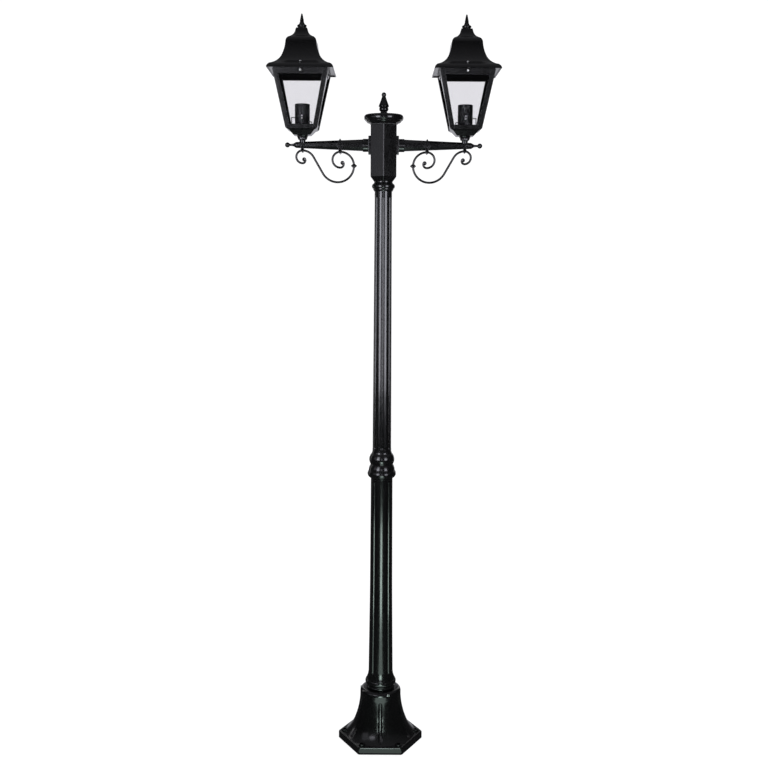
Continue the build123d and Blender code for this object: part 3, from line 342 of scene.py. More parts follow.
def ramp(tree, factor, low, high, start=0.35, end=0.65):
    """Colour or number that runs from low to high with a factor."""
    node = tree.nodes.new("ShaderNodeValToRGB")
    colours = [c if isinstance(c, (tuple, list)) else (c, c, c, 1) for c in (low, high)]
    for element, colour, place in zip(node.color_ramp.elements, colours, (start, end)):
        element.color = (*colour[:3], 1)
        element.position = place
    tree.links.new(factor, node.inputs["Fac"])
    return node.outputs["Color"]


def bump(tree, bsdf, height, strength, distance, over=None):
    """Relief from a height, laid over an earlier relief if there is one."""
    node = tree.nodes.new("ShaderNodeBump")
    node.inputs["Strength"].default_value = strength
    node.inputs["Distance"].default_value = distance
    tree.links.new(height, node.inputs["Height"])
    if over:
        tree.links.new(over, node.inputs["Normal"])
    tree.links.new(node.outputs["Normal"], bsdf.inputs["Normal"])
    return node.outputs["Normal"]


def coat_finish():
    """Semi-gloss black powder coat over castings: a slight unevenness, orange peel and faint dust."""
    looks = bpy.context.scene.post_light_looks
    material, tree, bsdf, coords = shader("black_coat")
    patches = noise(tree, coords, scale=9.0, detail=5.0)
    dark = looks.coat_colour
    dusty = [min(1.0, c * 1.6 + 0.0004) for c in dark]
    tree.links.new(ramp(tree, patches, tuple(dark), tuple(dusty)), bsdf.inputs["Base Color"])
    rough = looks.coat_roughness
    speckle = noise(tree, coords, scale=60.0, detail=4.0)
    tree.links.new(ramp(tree, speckle, rough * 0.85, rough * 1.2, 0.3, 0.7), bsdf.inputs["Roughness"])
    unevenness = noise(tree, coords, scale=30.0, detail=2.0)
    cast = bump(tree, bsdf, unevenness, strength=0.04, distance=0.003)
    peel = noise(tree, coords, scale=looks.orange_peel, detail=2.0)
    bump(tree, bsdf, peel, strength=0.1, distance=0.0004, over=cast)
    bsdf.inputs["IOR"].default_value = 1.5
    bsdf.inputs["Coat Weight"].default_value = 0.25
    bsdf.inputs["Coat Roughness"].default_value = 0.1
    return material


def steel_finish(name, colour, roughness, grain):
    """Plated or galvanised steel with blotches and fine turning or rolling marks."""
    material, tree, bsdf, coords = shader(name)
    blotches = noise(tree, coords, scale=grain, detail=5.0)
    darker = tuple(0.72 * c for c in colour)
    tree.links.new(ramp(tree, blotches, darker, colour), bsdf.inputs["Base Color"])
    tree.links.new(ramp(tree, blotches, roughness * 1.3, roughness * 0.8), bsdf.inputs["Roughness"])
    marks = noise(tree, coords, scale=900.0, detail=2.0, stretch=(1, 1, 6))
    bump(tree, bsdf, marks, strength=0.1, distance=0.0004)
    bsdf.inputs["Metallic"].default_value = 1.0
    return material


def glass_finish():
    """Clear pane, faintly lavender, with a slight waviness and smears of dust."""
    looks = bpy.context.scene.post_light_looks
    material, tree, bsdf, coords = shader("clear_glass")
    bsdf.inputs["Base Color"].default_value = (*looks.glass_colour, 1)
    bsdf.inputs["Transmission Weight"].default_value = 1.0
    bsdf.inputs["IOR"].default_value = 1.5
    smears = noise(tree, coords, scale=14.0, detail=6.0, stretch=(1, 1, 0.35))
    tree.links.new(ramp(tree, smears, 0.0, 0.02, 0.5, 0.8), bsdf.inputs["Roughness"])
    waviness = noise(tree, coords, scale=6.0, detail=1.0)
    bump(tree, bsdf, waviness, strength=0.01, distance=0.001)
    return material


def moulded_finish(name, colour, roughness):
    """Moulded plastic or rubber: a fine grain and slight blotches."""
    material, tree, bsdf, coords = shader(name)
    lighter = tuple(min(1.0, 1.35 * c + 0.004) for c in colour)
    blotches = noise(tree, coords, scale=45.0, detail=4.0)
    tree.links.new(ramp(tree, blotches, colour, lighter), bsdf.inputs["Base Color"])
    speckle = noise(tree, coords, scale=120.0)
    tree.links.new(ramp(tree, speckle, roughness * 0.85, roughness * 1.15), bsdf.inputs["Roughness"])
    grain = noise(tree, coords, scale=1400.0, detail=2.0)
    bump(tree, bsdf, grain, strength=0.15, distance=0.0003)
    return material


def floor_finish():
    """Pale matt studio paper with a faint mottle and a glow of its own."""
    material, tree, bsdf, coords = shader("studio_floor")
    mottle = noise(tree, coords, scale=3.0)
    tree.links.new(ramp(tree, mottle, (0.30, 0.30, 0.31), (0.34, 0.34, 0.34)), bsdf.inputs["Base Color"])
    bsdf.inputs["Roughness"].default_value = 0.75
    bsdf.inputs["Specular IOR Level"].default_value = 0.2
    bsdf.inputs["Emission Color"].default_value = (1, 1, 1, 1)
    bsdf.inputs["Emission Strength"].default_value = bpy.context.scene.post_light_studio.floor_glow
    return material


FINISHES = {}


def finish(slot):
    """The material of one of the record's slots, made the first time it is asked for."""
    makers = {
        "black_coat": coat_finish,
        "zinc_steel": lambda: steel_finish("zinc_steel", (0.9, 0.9, 0.88), 0.48, 160.0),
        "galvanised_steel": lambda: steel_finish("galvanised_steel", (0.36, 0.37, 0.38), 0.42, 70.0),
        "clear_glass": glass_finish,
        "holder_black": lambda: moulded_finish("holder_black", (0.008, 0.009, 0.0085), 0.4),
        "terminal_plastic": lambda: moulded_finish("terminal_plastic", (0.78, 0.76, 0.68), 0.45),
        "gasket_rubber": lambda: moulded_finish("gasket_rubber", (0.03, 0.03, 0.03), 0.7),
        "brass": lambda: steel_finish("brass", (0.78, 0.6, 0.28), 0.25, 120.0),
    }
    if slot not in FINISHES:
        FINISHES[slot] = makers[slot]()
    return FINISHES[slot]


def coated(bm, node="", name="", smooth=34):
    """Casting of the post in the black coat, named after the node that it stands for, if any."""
    return piece(bm, name or node + "_dressed", "post", "black_coat", [node] if node else [], smooth)


# Base and post

PLINTH_H = 24.0
PLINTH_FLAT = span("base_casting")[1].y
PLINTH_EDGE = 5.0
PLINTH_ROUND = 8.0
BELL_FOOT = 113.0
FLARE_TOP_Z = 58.0
HOLLOW_FOOT = 99.0
ANCHOR_CIRCLE = 117.0
ANCHOR_HOLE_R = 5.5
PAD_R = 10.0
PAD_BORE_R = 5.4
PAD_FOOT_Z = PLINTH_H - 4
PAD_TOP_Z = 29.0
GROOVE_R = 8.1
GROOVE_DEPTH = 4.0
GROOVE_TOP_Z = 140.0
GROOVE_FOOT_Z = 29.0
FLUTE_R = 5.5
FLUTE_DEPTH = 2.9


def bell_outline():
    """The bell from its foot on the plinth to the top of its shoulder."""
    return profile((BELL_FOOT, PLINTH_H), ((94.5, 45.5), (86.5, 60), 18), ((72, 105), (65.5, 150), 22),
                   (65.5, 164), ((61.4, 173.9), (51.5, 178), 8))


def radius_at(outline, z):
    """Radius of an outline at a height, along straight lines between its points."""
    for (r0, z0), (r1, z1) in zip(outline, outline[1:]):
        if z0 <= z <= z1 and z1 > z0:
            return r0 + (r1 - r0) * (z - z0) / (z1 - z0)
    return outline[0][0] if z < outline[0][1] else outline[-1][0]


def hexagon_radius(apothem, rounding, angle):
    """Radius of a hexagon with rounded corners, one of them on X, at an angle."""
    turn = angle % (pi / 3)
    turn = min(turn, pi / 3 - turn)
    centre = (apothem - rounding) / cos(pi / 6)
    if turn < atan2(rounding / 2, centre + rounding * cos(pi / 6)):
        return centre * cos(turn) + sqrt(max(0.0, rounding ** 2 - (centre * sin(turn)) ** 2))
    return apothem / cos(pi / 6 - turn)


def groove_floor(surface, aside, beyond, radius, depth):
    """Radius left by a ball groove at a distance aside from its line and beyond its end."""
    room = radius * radius - beyond * beyond
    if room <= aside * aside:
        return None
    return surface + (radius - depth) - sqrt(room - aside * aside)


def base_shape(bell):
    """Turns the rings outside the bell's foot into hexagons, and sinks six grooves into the bell."""
    def shape(reach, z, angle):
        if reach > BELL_FOOT + 0.1:
            return hexagon_radius(reach, max(1.0, PLINTH_ROUND - (PLINTH_FLAT - reach)), angle)
        aside = reach * sin((angle % (pi / 3)) - pi / 6)
        beyond = max(0.0, z - GROOVE_TOP_Z)
        if z > GROOVE_FOOT_Z and abs(aside) < GROOVE_R:
            floor = groove_floor(radius_at(bell, z), aside, beyond, GROOVE_R, GROOVE_DEPTH)
            if floor:
                return min(reach, max(floor, reach - GROOVE_DEPTH))
        return reach
    return shape


def make_base():
    """Six-sided plinth, grooved bell with a hollow underside, anchor holes and their pads."""
    bell = bell_outline()
    eased = 0.293 * PLINTH_EDGE
    plinth = profile(*[(PLINTH_FLAT, z) for z in (0, 1, 12, PLINTH_H - PLINTH_EDGE)],
                     ((PLINTH_FLAT - eased, PLINTH_H - eased), (PLINTH_FLAT - PLINTH_EDGE, PLINTH_H), 8))
    heights = evenly(PLINTH_H, FLARE_TOP_Z, 16) + evenly(GROOVE_TOP_Z, GROOVE_TOP_Z + GROOVE_R, 8)
    rings = [(radius_at(bell, z), z) for z in heights] + [p for p in bell if p[1] > FLARE_TOP_Z]
    skin = sorted(set(rings), key=lambda p: (p[1], -p[0]))
    hollow = profile((38.1, 178), (38.1, 152), (58.5, 152), (58.5, 150), ((65, 105), (79.5, 60), 10),
                     (HOLLOW_FOOT, PLINTH_H), (HOLLOW_FOOT, 0), (PLINTH_FLAT, 0))
    bm = turned(plinth + skin + hollow, 480, 0, base_shape(bell))
    base = coated(bm, "base_casting", "base_dressed", smooth=28)
    hole = [(0, -5), (ANCHOR_HOLE_R, -5), (ANCHOR_HOLE_R, 40), (0, 40)]
    cut(base, around(lambda: moved(turned(hole, 32), shift(ANCHOR_CIRCLE)), 6))
    pad = profile((PAD_BORE_R, PAD_FOOT_Z), (PAD_R, PAD_FOOT_Z), (PAD_R, PAD_TOP_Z - 1.2),
                  ((PAD_R - 0.35, PAD_TOP_Z - 0.35), (PAD_R - 1.2, PAD_TOP_Z), 4),
                  (PAD_BORE_R + 0.5, PAD_TOP_Z), (PAD_BORE_R, PAD_TOP_Z - 0.5), (PAD_BORE_R, PAD_FOOT_Z))
    coated(around(lambda: moved(turned(pad, 48), shift(ANCHOR_CIRCLE)), 6), name="anchor_pads")


def fluted(outline, flutes, low, high, steps):
    """Shaft outline spun in steps per flute, with rounded grooves between two heights, one at the back."""
    def shape(reach, z, angle):
        step = 2 * pi / flutes
        aside = reach * sin(((angle - BACK) + step / 2) % step - step / 2)
        beyond = max(low - z, z - high, 0.0)
        if abs(aside) >= FLUTE_R or beyond >= FLUTE_R:
            return reach
        floor = groove_floor(reach, aside, beyond, FLUTE_R, FLUTE_DEPTH)
        return min(reach, floor) if floor else reach
    ends = [low - FLUTE_R * f for f in (1, 0.86, 0.7, 0.5, 0.25, 0)]
    ends += [high + FLUTE_R * f for f in (0, 0.25, 0.5, 0.7, 0.86, 1)]
    heights = sorted({z for _, z in outline} | set(ends))
    return turned([(radius_at(outline, z), z) for z in heights], steps * flutes, 0, shape)


def make_lower_shaft():
    """Lower shaft with five long grooves over its flared foot."""
    low, high = span("lower_shaft")
    length = high.z - low.z
    outline = profile((45.3, 0), ((41.2, 11.5), (38.9, 28), 12),
                      (38.2, 90), (37.0, 190), (35.8, 297), (34.9, 480), (34.3, length))
    bm = fluted(outline, flutes=5, low=26, high=length - 12, steps=48)
    coated(moved(bm, shift(z=low.z)), "lower_shaft")


def make_upper_shaft():
    """Upper shaft with eight long grooves."""
    low, high = span("upper_shaft")
    length = high.z - low.z
    bm = fluted([(29.6, 0), (26.6, length)], flutes=8, low=14, high=length - 20, steps=36)
    coated(moved(bm, shift(z=low.z)), "upper_shaft")


def make_collars():
    """Turned collars and rings between the stages of the post, each above its node's lowest point."""
    foot = profile((28, 0), (43.8, 0), ((46.3, 3.5), (43.8, 7), 8), (43.8, 9.5),
                   ((49.4, 19), (46.8, 27.5), 14), (45.3, 27.5), (45.3, 30), (28, 30))
    big = profile((28, 0), (34.3, 0), (34.3, 4), ((44.9, 18), (42.1, 26.9), 16), (40.9, 26.9),
                  ((39.3, 39.4), (34.9, 48), 10), (28, 48))
    small = profile((22, 0), (34.9, 0), ((39.7, 14), (31.8, 35), 16), (30.4, 40), (22, 40))
    neck = profile((22, 0), (27.6, 0), ((30.7, 5), (31.5, 9), 5), (32.9, 9), ((35.3, 16), (30.9, 23), 10),
                   ((28.9, 25), (28.5, 30), 4), (22, 30))
    for node, outline, seat in (("foot_collar", foot, 22), ("lower_collar", big, 0),
                                ("upper_collar", small, 0), ("neck_ring", neck, 0)):
        coated(soften(turned(lifted(outline, span(node)[0].z + seat), 128), 0.45, 2, 24), node)


# Hub

def make_hub():
    """Six-sided column, softened along its corners, with a bevelled foot."""
    low, high = span("hub_column")
    top = high.z - low.z
    outline = [(20, 12), (20, 0), (28.5, 0), (39, 14), (39, top), (33, top), (33, 12), (20, 12)]
    bm = soften(turned(lifted(outline, low.z), 6, pi / 6), 1.3, 3, 20)
    coated(bm, "hub_column", "hub_dressed")


def make_cap():
    """Round lid with a lower step, a bulging rim and a slight dome."""
    top = 32
    outline = profile((0, -8), (30, -8), (30, 0), (41.5, 0), (45, 3), ((51.3, 5.6), (53.7, 10), 8),
                      (55.3, 10), ((59.7, 19.8), (54.7, 27.8), 14), ((27.3, 29.8), (15.5, 30.7), 6),
                      (15.5, top), (0, top))
    bm = turned(lifted(outline, span("hub_cap")[1].z - top), 144)
    coated(soften(bm, 0.5, 2, 28), "hub_cap")


def make_finial():
    """Turned finial: a bead, a coned body and a ball."""
    low, high = span("hub_finial")
    height = high.z - low.z
    ball_r, neck_r = 7.2, 5.4
    ball_z = height - ball_r
    neck_z = ball_z - sqrt(ball_r ** 2 - neck_r ** 2)
    outline = profile((0, 0), (14.5, 0), ((11, 2), (9.5, 5.5), 5), ((14.1, 12), (12.5, 17), 12),
                      (15.5, 20), (15.5, 22.5), ((10.05, 0.5 * (22.5 + neck_z)), (neck_r, neck_z), 10),
                      ((ball_r, ball_z), (0, height), 18))
    coated(soften(turned(lifted(outline, low.z), 96), 0.4, 2, 28), "hub_finial")


# Arms and scrolls, made on +X and put on both sides

def make_flange():
    """Plate with rounded corners, a round socket and a rolled rim."""
    low, high = span("right_arm_flange")
    face_x = low.x + 7
    bm = block(low.x, face_x, low.y, high.y, low.z, high.z)
    rim = [e for e in bm.edges if abs(e.verts[0].co.x - e.verts[1].co.x) > 1e-5]
    bmesh.ops.bevel(bm, geom=rim, offset=6 * MM, segments=6, profile=0.5, affect="EDGES", material=-1)
    soften(bm, 0.9, 2, 40)
    outline = profile((0, -2), (19.5, -2), (19.5, 15.4), ((19, 16.6), (17.9, 17), 3), (0, 17))
    socket = moved(turned(outline, 72), shift(face_x, 0, ARM_Z) @ swing(90, "Y"))
    return joined([bm, socket])


def make_arm():
    """Eight-sided taper with softened corners."""
    length = ARM_X1 - ARM_X0
    bm = turned([(0, 0), (ARM_ROOT, 0), (ARM_TIP, length), (0, length)], 8, pi / 8)
    soften(bm, 0.9, 2, 20)
    return moved(bm, shift(ARM_X0, 0, ARM_Z) @ swing(90, "Y"))


def make_arm_finial():
    """Shoulder, thin neck and ball at the arm's end."""
    ball_x, ball_r, neck_r = 32.5, 7.6, 3.5
    neck_x = ball_x - sqrt(ball_r ** 2 - neck_r ** 2)
    outline = profile((0, 0), (ARM_TIP, 0), (ARM_TIP, 5), ((7.5, 9), (4.9, 13), 6),
                      ((neck_r, 19), (neck_r, neck_x), 8), ((ball_r, ball_x), (0, ball_x + ball_r), 18))
    return moved(soften(turned(outline, 64), 0.35, 2, 28), shift(ARM_X1, 0, ARM_Z) @ swing(90, "Y"))


# Radii and runs of the scroll's bar along its middle line; its angles are in degrees

SHOULDER_R, SLOPE_ANGLE, SLOPE_L, BELLY_R = 38.0, 60.0, 56.3, 52.5
SIDE_R, CREST_R, BIG_CURL_R, BIG_EYE_R = 49.0, 41.5, 23.5, 10.5
SMALL_CURL_R, SMALL_EYE_R, EYE_TURN = 19.0, 8.5, 120.0
BAR_TOP_DROP = 16.0
BUTTON_R = 6.2
CHEEK = 2.2
ARM_CLIP_HALF_W, ARM_CLIP_HALF_H = 12, 19


def stroke(point, heading, radius, turn, step=6.0):
    """Points along an arc or, with no radius, a straight run, and the new point and heading."""
    if not radius:
        end = (point[0] + turn * cos(heading), point[1] + turn * sin(heading))
        return [end], end, heading
    count = max(2, ceil(abs(turn) / step))
    side = 1 if turn > 0 else -1
    x, z = point[0] - side * radius * sin(heading), point[1] + side * radius * cos(heading)
    made = []
    for i in range(1, count + 1):
        now = heading + radians(turn) * i / count
        made.append((x + side * radius * sin(now), z - side * radius * cos(now)))
    return made, made[-1], heading + radians(turn)


def eye_inside(point, heading):
    """Centre of the button that closes a curl which ends at a point, turning clockwise."""
    aside = BUTTON_R - BAR_R
    return point[0] + aside * sin(heading), point[1] - aside * cos(heading)


def scroll_line():
    """Centre line of the bar in X and Z, from the small eye to the big one, and the two buttons' centres."""
    top = (LANTERN_X, ARM_Z - BAR_TOP_DROP)
    small, point, heading = [], top, 0.0
    for radius, turn in ((SMALL_CURL_R, -180), (SMALL_EYE_R, -EYE_TURN)):
        made, point, heading = stroke(point, heading, radius, turn)
        small += made
    buttons = [eye_inside(point, heading)]
    line = small[::-1] + [top]
    point, heading = top, pi
    for radius, turn in ((SHOULDER_R, SLOPE_ANGLE), (0, SLOPE_L), (BELLY_R, -SLOPE_ANGLE), (SIDE_R, -90),
                         (CREST_R, -90), (BIG_CURL_R, -180), (BIG_EYE_R, -EYE_TURN)):
        made, point, heading = stroke(point, heading, radius, turn)
        line += made
    return line, buttons + [eye_inside(point, heading)]


def crest():
    """Top of the big curl, where the arm clip holds it, in X and Z."""
    run = (SHOULDER_R + BELLY_R) * sin(radians(SLOPE_ANGLE)) + SLOPE_L * cos(radians(SLOPE_ANGLE))
    drop = (SHOULDER_R + BELLY_R) * (1 - cos(radians(SLOPE_ANGLE))) + SLOPE_L * sin(radians(SLOPE_ANGLE))
    return LANTERN_X - run - SIDE_R + CREST_R, ARM_Z - BAR_TOP_DROP - drop + SIDE_R + CREST_R


def swept(points, radius):
    """Round bar along points in X and Z, as a closed mesh."""
    curve = bpy.data.curves.new("bar", "CURVE")
    curve.dimensions = "3D"
    curve.twist_mode = "MINIMUM"
    curve.bevel_depth = radius * MM
    curve.bevel_resolution = 6
    curve.use_fill_caps = True
    spline = curve.splines.new("POLY")
    spline.points.add(len(points) - 1)
    for place, (x, z) in zip(spline.points, points):
        place.co = (x * MM, 0, z * MM, 1)
    obj = in_scene("bar", curve)
    data = evaluated(obj)
    bpy.data.objects.remove(obj)
    bpy.data.curves.remove(curve)
    bm = bmesh.new()
    bm.from_mesh(data)
    bpy.data.meshes.remove(data)
    bmesh.ops.remove_doubles(bm, verts=bm.verts, dist=WELD)
    bmesh.ops.recalc_face_normals(bm, faces=bm.faces)
    return bm


def make_button():
    """Round boss that closes a curl, dished on both faces."""
    face = [(0, 3.0), (2.2, 3.2), (4.2, 4.0), (5.3, 3.8), (6.0, 2.8), (BUTTON_R, 1.6)]
    return moved(turned(face + [(r, -h) for r, h in reversed(face)], 40), swing(90, "X"))


def make_scroll():
    """Round bar bent into the scroll, with a button in each eye."""
    line, buttons = scroll_line()
    parts = [soften(swept(line, BAR_R), 0.7, 2, 60)]
    parts += [moved(make_button(), shift(x, 0, z)) for x, z in buttons]
    return joined(parts)


def diamond(x, z, half_w, half_h, depth, edge=0.6):
    """Four-cornered plate with eased edges."""
    bm = plate([(x + half_w, z), (x, z + half_h), (x - half_w, z), (x, z - half_h)], depth)
    return soften(bm, edge, 2, 30)


def make_clip(x, bar_z, half_w, half_h):
    """Cheeks on both faces of the arm, a neck down to the bar and a diamond round it."""
    outer = arm_apothem(x) + CHEEK
    parts = []
    for side in (-1, 1):
        place = shift(0, side * (outer - CHEEK / 2), 0)
        parts.append(moved(diamond(x, ARM_Z, half_w, half_h, CHEEK, 0.5), place))
        parts.append(moved(diamond(x, ARM_Z, 0.55 * half_w, 0.55 * half_h, CHEEK + 1.2, 0.5), place))
    low = ARM_Z - 0.45 * half_h
    parts.append(soften(block(x - 4.5, x + 4.5, -outer, outer, bar_z, low), 0.7, 2, 30))
    parts.append(diamond(x, bar_z, 7.5, 7.5, 2 * outer, 0.8))
    return joined(parts)


def make_arm_clip():
    """Clip whose pointed tip also bridges the arm's top."""
    x, bar_z = crest()
    clip = make_clip(x, bar_z, ARM_CLIP_HALF_W, ARM_CLIP_HALF_H)
    top = ARM_Z + arm_apothem(x)
    width = ARM_CLIP_HALF_W * (1 - arm_apothem(x) / ARM_CLIP_HALF_H)
    depth = 2 * (arm_apothem(x) + CHEEK)
    tip = plate([(x - width, top - 0.5), (x + width, top - 0.5), (x, ARM_Z + ARM_CLIP_HALF_H)], depth)
    return joined([clip, soften(tip, 0.5, 2, 30)])


def make_stem_clip():
    """Clip under the lantern's stem, as high as the arm is thick there."""
    return make_clip(LANTERN_X, ARM_Z - BAR_TOP_DROP, 9, arm_apothem(LANTERN_X))


def make_boss():
    """Faceted diamond on the scroll's side nearest the post."""
    x, z = crest()
    x, z = x - CREST_R, z - CREST_R
    flat = diamond(x, z, 9.7, 8.7, 6, 0.6)
    return joined([flat, diamond(x, z, 7.2, 6.3, 10, 1.6)])


# Lanterns, made about Z and put out along both arms

ROOF_FLARE = ((88, 11.2), (68, 22.4), (56, 38.6))


def roof_outline():
    """Half section of the roof's outside from the brim's edge to its flat top, above its seat."""
    return profile((97.8, -3), (97.8, -1), ((94.6, 5.4), ROOF_FLARE[0], 8), (*ROOF_FLARE[1:], 14),
                   ((49.7, 56), (45.5, 80), 12), ((42.4, 89), (35, 95.3), 8), ((24.5, 103), (19.4, 112), 8),
                   (17.5, 119.6), (16.5, 123))


def make_roof():
    """Bell roof with a rolled brim, hollow below, with a rim that locates it in the rail."""
    outside = roof_outline()
    inside = [(0, 119.5), (13, 119.5), (16, 110), (21, 101), (31, 93), (38.5, 87.5), (42, 79), (46.2, 55),
              (52.5, 38), (58, 28), (66, 20), (66, 3.5), (63, 3.5), (63, -5), (66, -5), (66, 0),
              (94.3, 0), (94.3, -3)]
    outline = inside + outside + [(0, outside[-1][1])]
    return soften(turned(lifted(outline, ROOF_Z), 4, pi / 4), 0.9, 3, 24)


def make_knob():
    """Turned knob on the roof, with a waist and a rolled edge."""
    outline = profile((0, 0), (12.3, 0), (12.3, 3.5), ((14.1, 6.5), (13.7, 9.5), 8),
                      (11.7, KNOB_H), (0, KNOB_H))
    return soften(turned(lifted(outline, KNOB_Z), 72), 0.4, 2, 30)


def make_spire():
    """Pointed spire with a flared foot."""
    low, high = KNOB_Z + KNOB_H, span("right_spire")[1].z
    height = high - low
    outline = profile((0, 0), (10.7, 0), ((7, 5.5), (5.8, 13), 10), (4.6, 18.5), (3.4, 24.5),
                      (2.2, height - 2.2), (1.7, height - 0.9), (0.9, height - 0.15), (0, height))
    return soften(turned(lifted(outline, low), 56), 0.3, 2, 35)


def make_pan():
    """Cast pan: tapered underside, step, band and a ledge for the panes."""
    band = PAN_TOP - 13
    foot, top = frame_half(band), frame_half(PAN_TOP)
    outline = [(0, PAN_Z), (25.3, PAN_Z), (38, PAN_Z + 14), (foot, band), (top, PAN_TOP),
               (top - 2, PAN_TOP), (top - 3.4, PAN_TOP - 7), (0, PAN_TOP - 7)]
    return soften(turned(outline, 4, pi / 4), 0.7, 3, 20)


def make_pillar():
    """L-shaped corner pillar that leans out with the panes."""
    leg, wall = 14, 2
    section = [(0, 0), (-leg, 0), (-leg, -wall), (-wall, -wall), (-wall, -leg), (0, -leg)]
    corner = pillar_half(PILLAR_FOOT_Z)
    lean = pillar_half(PILLAR_TOP_Z) - corner
    bm = slab([(corner + x, corner + y, PILLAR_FOOT_Z) for x, y in section],
              (lean, lean, PILLAR_TOP_Z - PILLAR_FOOT_Z))
    return soften(bm, 0.45, 2, 30)


def make_rail():
    """Square ring behind the pillars' tops, with the flange that carries the roof."""
    low = span("right_top_rail")[0].z
    foot, top = frame_half(low), frame_half(ROOF_Z)
    outline = [(foot - 2, low), (foot, low), (top, ROOF_Z), (66.4, ROOF_Z), (66.4, ROOF_Z - 3),
               (top - 2.6, ROOF_Z - 3), (foot - 2, low)]
    return soften(turned(outline, 4, pi / 4), 0.4, 2, 30)


def make_pane():
    """One leaning sheet of glass with ground edges, at the front."""
    low, high = span("right_glass_panes")
    foot, top = [pillar_half(z) - PANE_INSET for z in (low.z, high.z)]
    foot_side, top_side = foot - PANE_SIDE_GAP, top - PANE_SIDE_GAP
    corners = [(-foot_side, -foot, low.z), (foot_side, -foot, low.z),
               (top_side, -top, high.z), (-top_side, -top, high.z)]
    return soften(slab(corners, (0, PANE_THICKNESS, 0)), 0.3, 1, 30)


def make_stem():
    """Scalloped cup over a waisted neck that sits on the arm."""
    seat = ARM_Z + arm_apothem(LANTERN_X)
    cup_foot, cup_top, scallops = 6.4, 18.4, 12
    outline = profile((0, -6), (9, -6), (9, 2), ((10.2, 4.9), (13.7, cup_foot), 6),
                      ((15.2, 12.4), (18.3, cup_top), 10), (0, cup_top))
    foot = seat + cup_foot

    def scallop(reach, z, angle):
        depth = 0.9 * min(1.0, max(0.0, (z - foot) / 4)) * min(1.0, max(0.0, (PAN_Z - z) / 1.5))
        return reach - depth * (0.5 - 0.5 * cos(scallops * angle)) if reach > 12 else reach
    return turned(lifted(outline, seat), 144, 0, scallop)


def make_holder():
    """Round lampholder with fine upright ribs, a wider mouth and a bore."""
    ribs = bpy.context.scene.post_light_sizes.holder_ribs
    rib_foot, rib_top = 5.5, 58.3
    outline = [(0, 0), (21.3, 0), (22.5, 1.2), (22.5, 5), (22.5, 5.8), (22.5, 58), (22.5, 58.8), (22.5, 66.3),
               (21.3, 67.5), (18.5, 67.5), (18.5, 59.5), (14.4, 59.5), (14.4, 19.5), (0, 19.5)]

    def ribbed(reach, z, angle):
        if reach > 22 and rib_foot < z - HOLDER_Z < rib_top:
            return reach - 0.55 * (0.5 - 0.5 * cos(ribs * angle))
        return reach
    return turned(lifted(outline, HOLDER_Z), 6 * ribs, 0, ribbed)


def make_lamp_shell():
    """Rolled screw shell inside the holder, open at the top, with a centre contact."""
    turns = bpy.context.scene.post_light_sizes.shell_turns
    steps = 8 * turns
    wall = [(13.75 + 0.35 * cos(2 * pi * turns * i / steps), 20 + 38 * i / steps) for i in range(steps + 1)]
    outer = [(14.3, z) for _, z in reversed(wall)]
    shell = turned(lifted(wall + outer + wall[:1], HOLDER_Z), 64)
    contact = turned(lifted([(0, 19.5), (5, 19.5), (5, 20.6), (3.6, 21.6), (0, 22)], HOLDER_Z), 32)
    return joined([shell, contact])


def make_bracket():
    """Bent strap over the pan's floor with a tab on each side of the holder."""
    low, high = span("right_holder_bracket")
    floor, top, half = low.z, high.z, high.y
    inner, outer = low.x - LANTERN_X, high.x - LANTERN_X
    wall, low_tab, holder_side = 1.5, floor + 18, 22.6
    parts = [
        block(inner, outer, -half, half, floor, floor + wall),
        block(outer - wall, outer, -half, half, floor + wall, top),
        block(holder_side, outer - wall, -half, half, top - wall, top),
        block(inner, inner + wall, -half, half, floor + wall, low_tab),
        block(inner + wall, -holder_side, -half, half, low_tab - wall, low_tab),
    ]
    return joined([soften(part, 0.35, 2, 30) for part in parts])


def make_screw(length):
    """Dome-headed screw that stands on Z = 0 with its shank below."""
    radius = bpy.context.scene.post_light_sizes.screw_head / 2 / MM
    shank, rim, crown = 2, 0.5, 0.61 * radius
    dome = [(radius * cos(radians(a)), rim + (crown - rim) * sin(radians(a))) for a in range(0, 90, 15)]
    return turned([(0, -length), (shank, -length), (shank, 0), (radius, 0), *dome, (0, crown)], 32)


def recess():
    """Cross that is sunk into a screw's head."""
    w, long = 0.4, 2.1
    cross = [(w, long), (-w, long), (-w, w), (-long, w), (-long, -w), (-w, -w),
             (-w, -long), (w, -long), (w, -w), (long, -w), (long, w), (w, w)]
    return moved(plate(cross, 3), shift(z=2.7) @ swing(90, "X"))


def rail_screw_places():
    """Places on the front and back of the top rail."""
    z = ROOF_Z - 7
    front = shift(0, -frame_half(z + 3.6), z) @ swing(90, "X")
    return [front, swing(180, "Z") @ front]


def roof_screw_places():
    """Places on the front and back of the roof's flare, square to its slope."""
    flare = arc(*ROOF_FLARE, 50)
    (r0, h0), (r, h), (r1, h1) = flare[20:23]
    tilt = degrees(atan2(r0 - r1, h1 - h0))
    front = shift(0, -r, ROOF_Z + h) @ swing(90 - tilt, "X") @ shift(0, 0, -0.6)
    return [front, swing(180, "Z") @ front]


def side_pieces(make, node, slot="black_coat", body="post", out=True, extra=False, smooth=34):
    """A piece for each side, made on +X; out moves it along the arm first. An extra stands for no node."""
    for side, place in side_places(out):
        own = f"{side}_{node}"
        where = f"{side}_{body}" if body != "post" else body
        name, nodes = (own, []) if extra else (own + "_dressed", [own])
        piece(moved(make(), place), name, where, slot, nodes, smooth)


def paired(make, node):
    """One piece that holds both sides' copies, as its node does."""
    coated(copies(make, [place for _, place in side_places(out=False)]), node)


def recessed_screws(node, body, length, places):
    """Screws at several places as one piece, each head with its cross recess."""
    screws = copies(lambda: make_screw(length), places)
    cut(piece(screws, node + "_dressed", body, "zinc_steel", [node]), copies(recess, places))


# Pieces that keep the frame's own shape

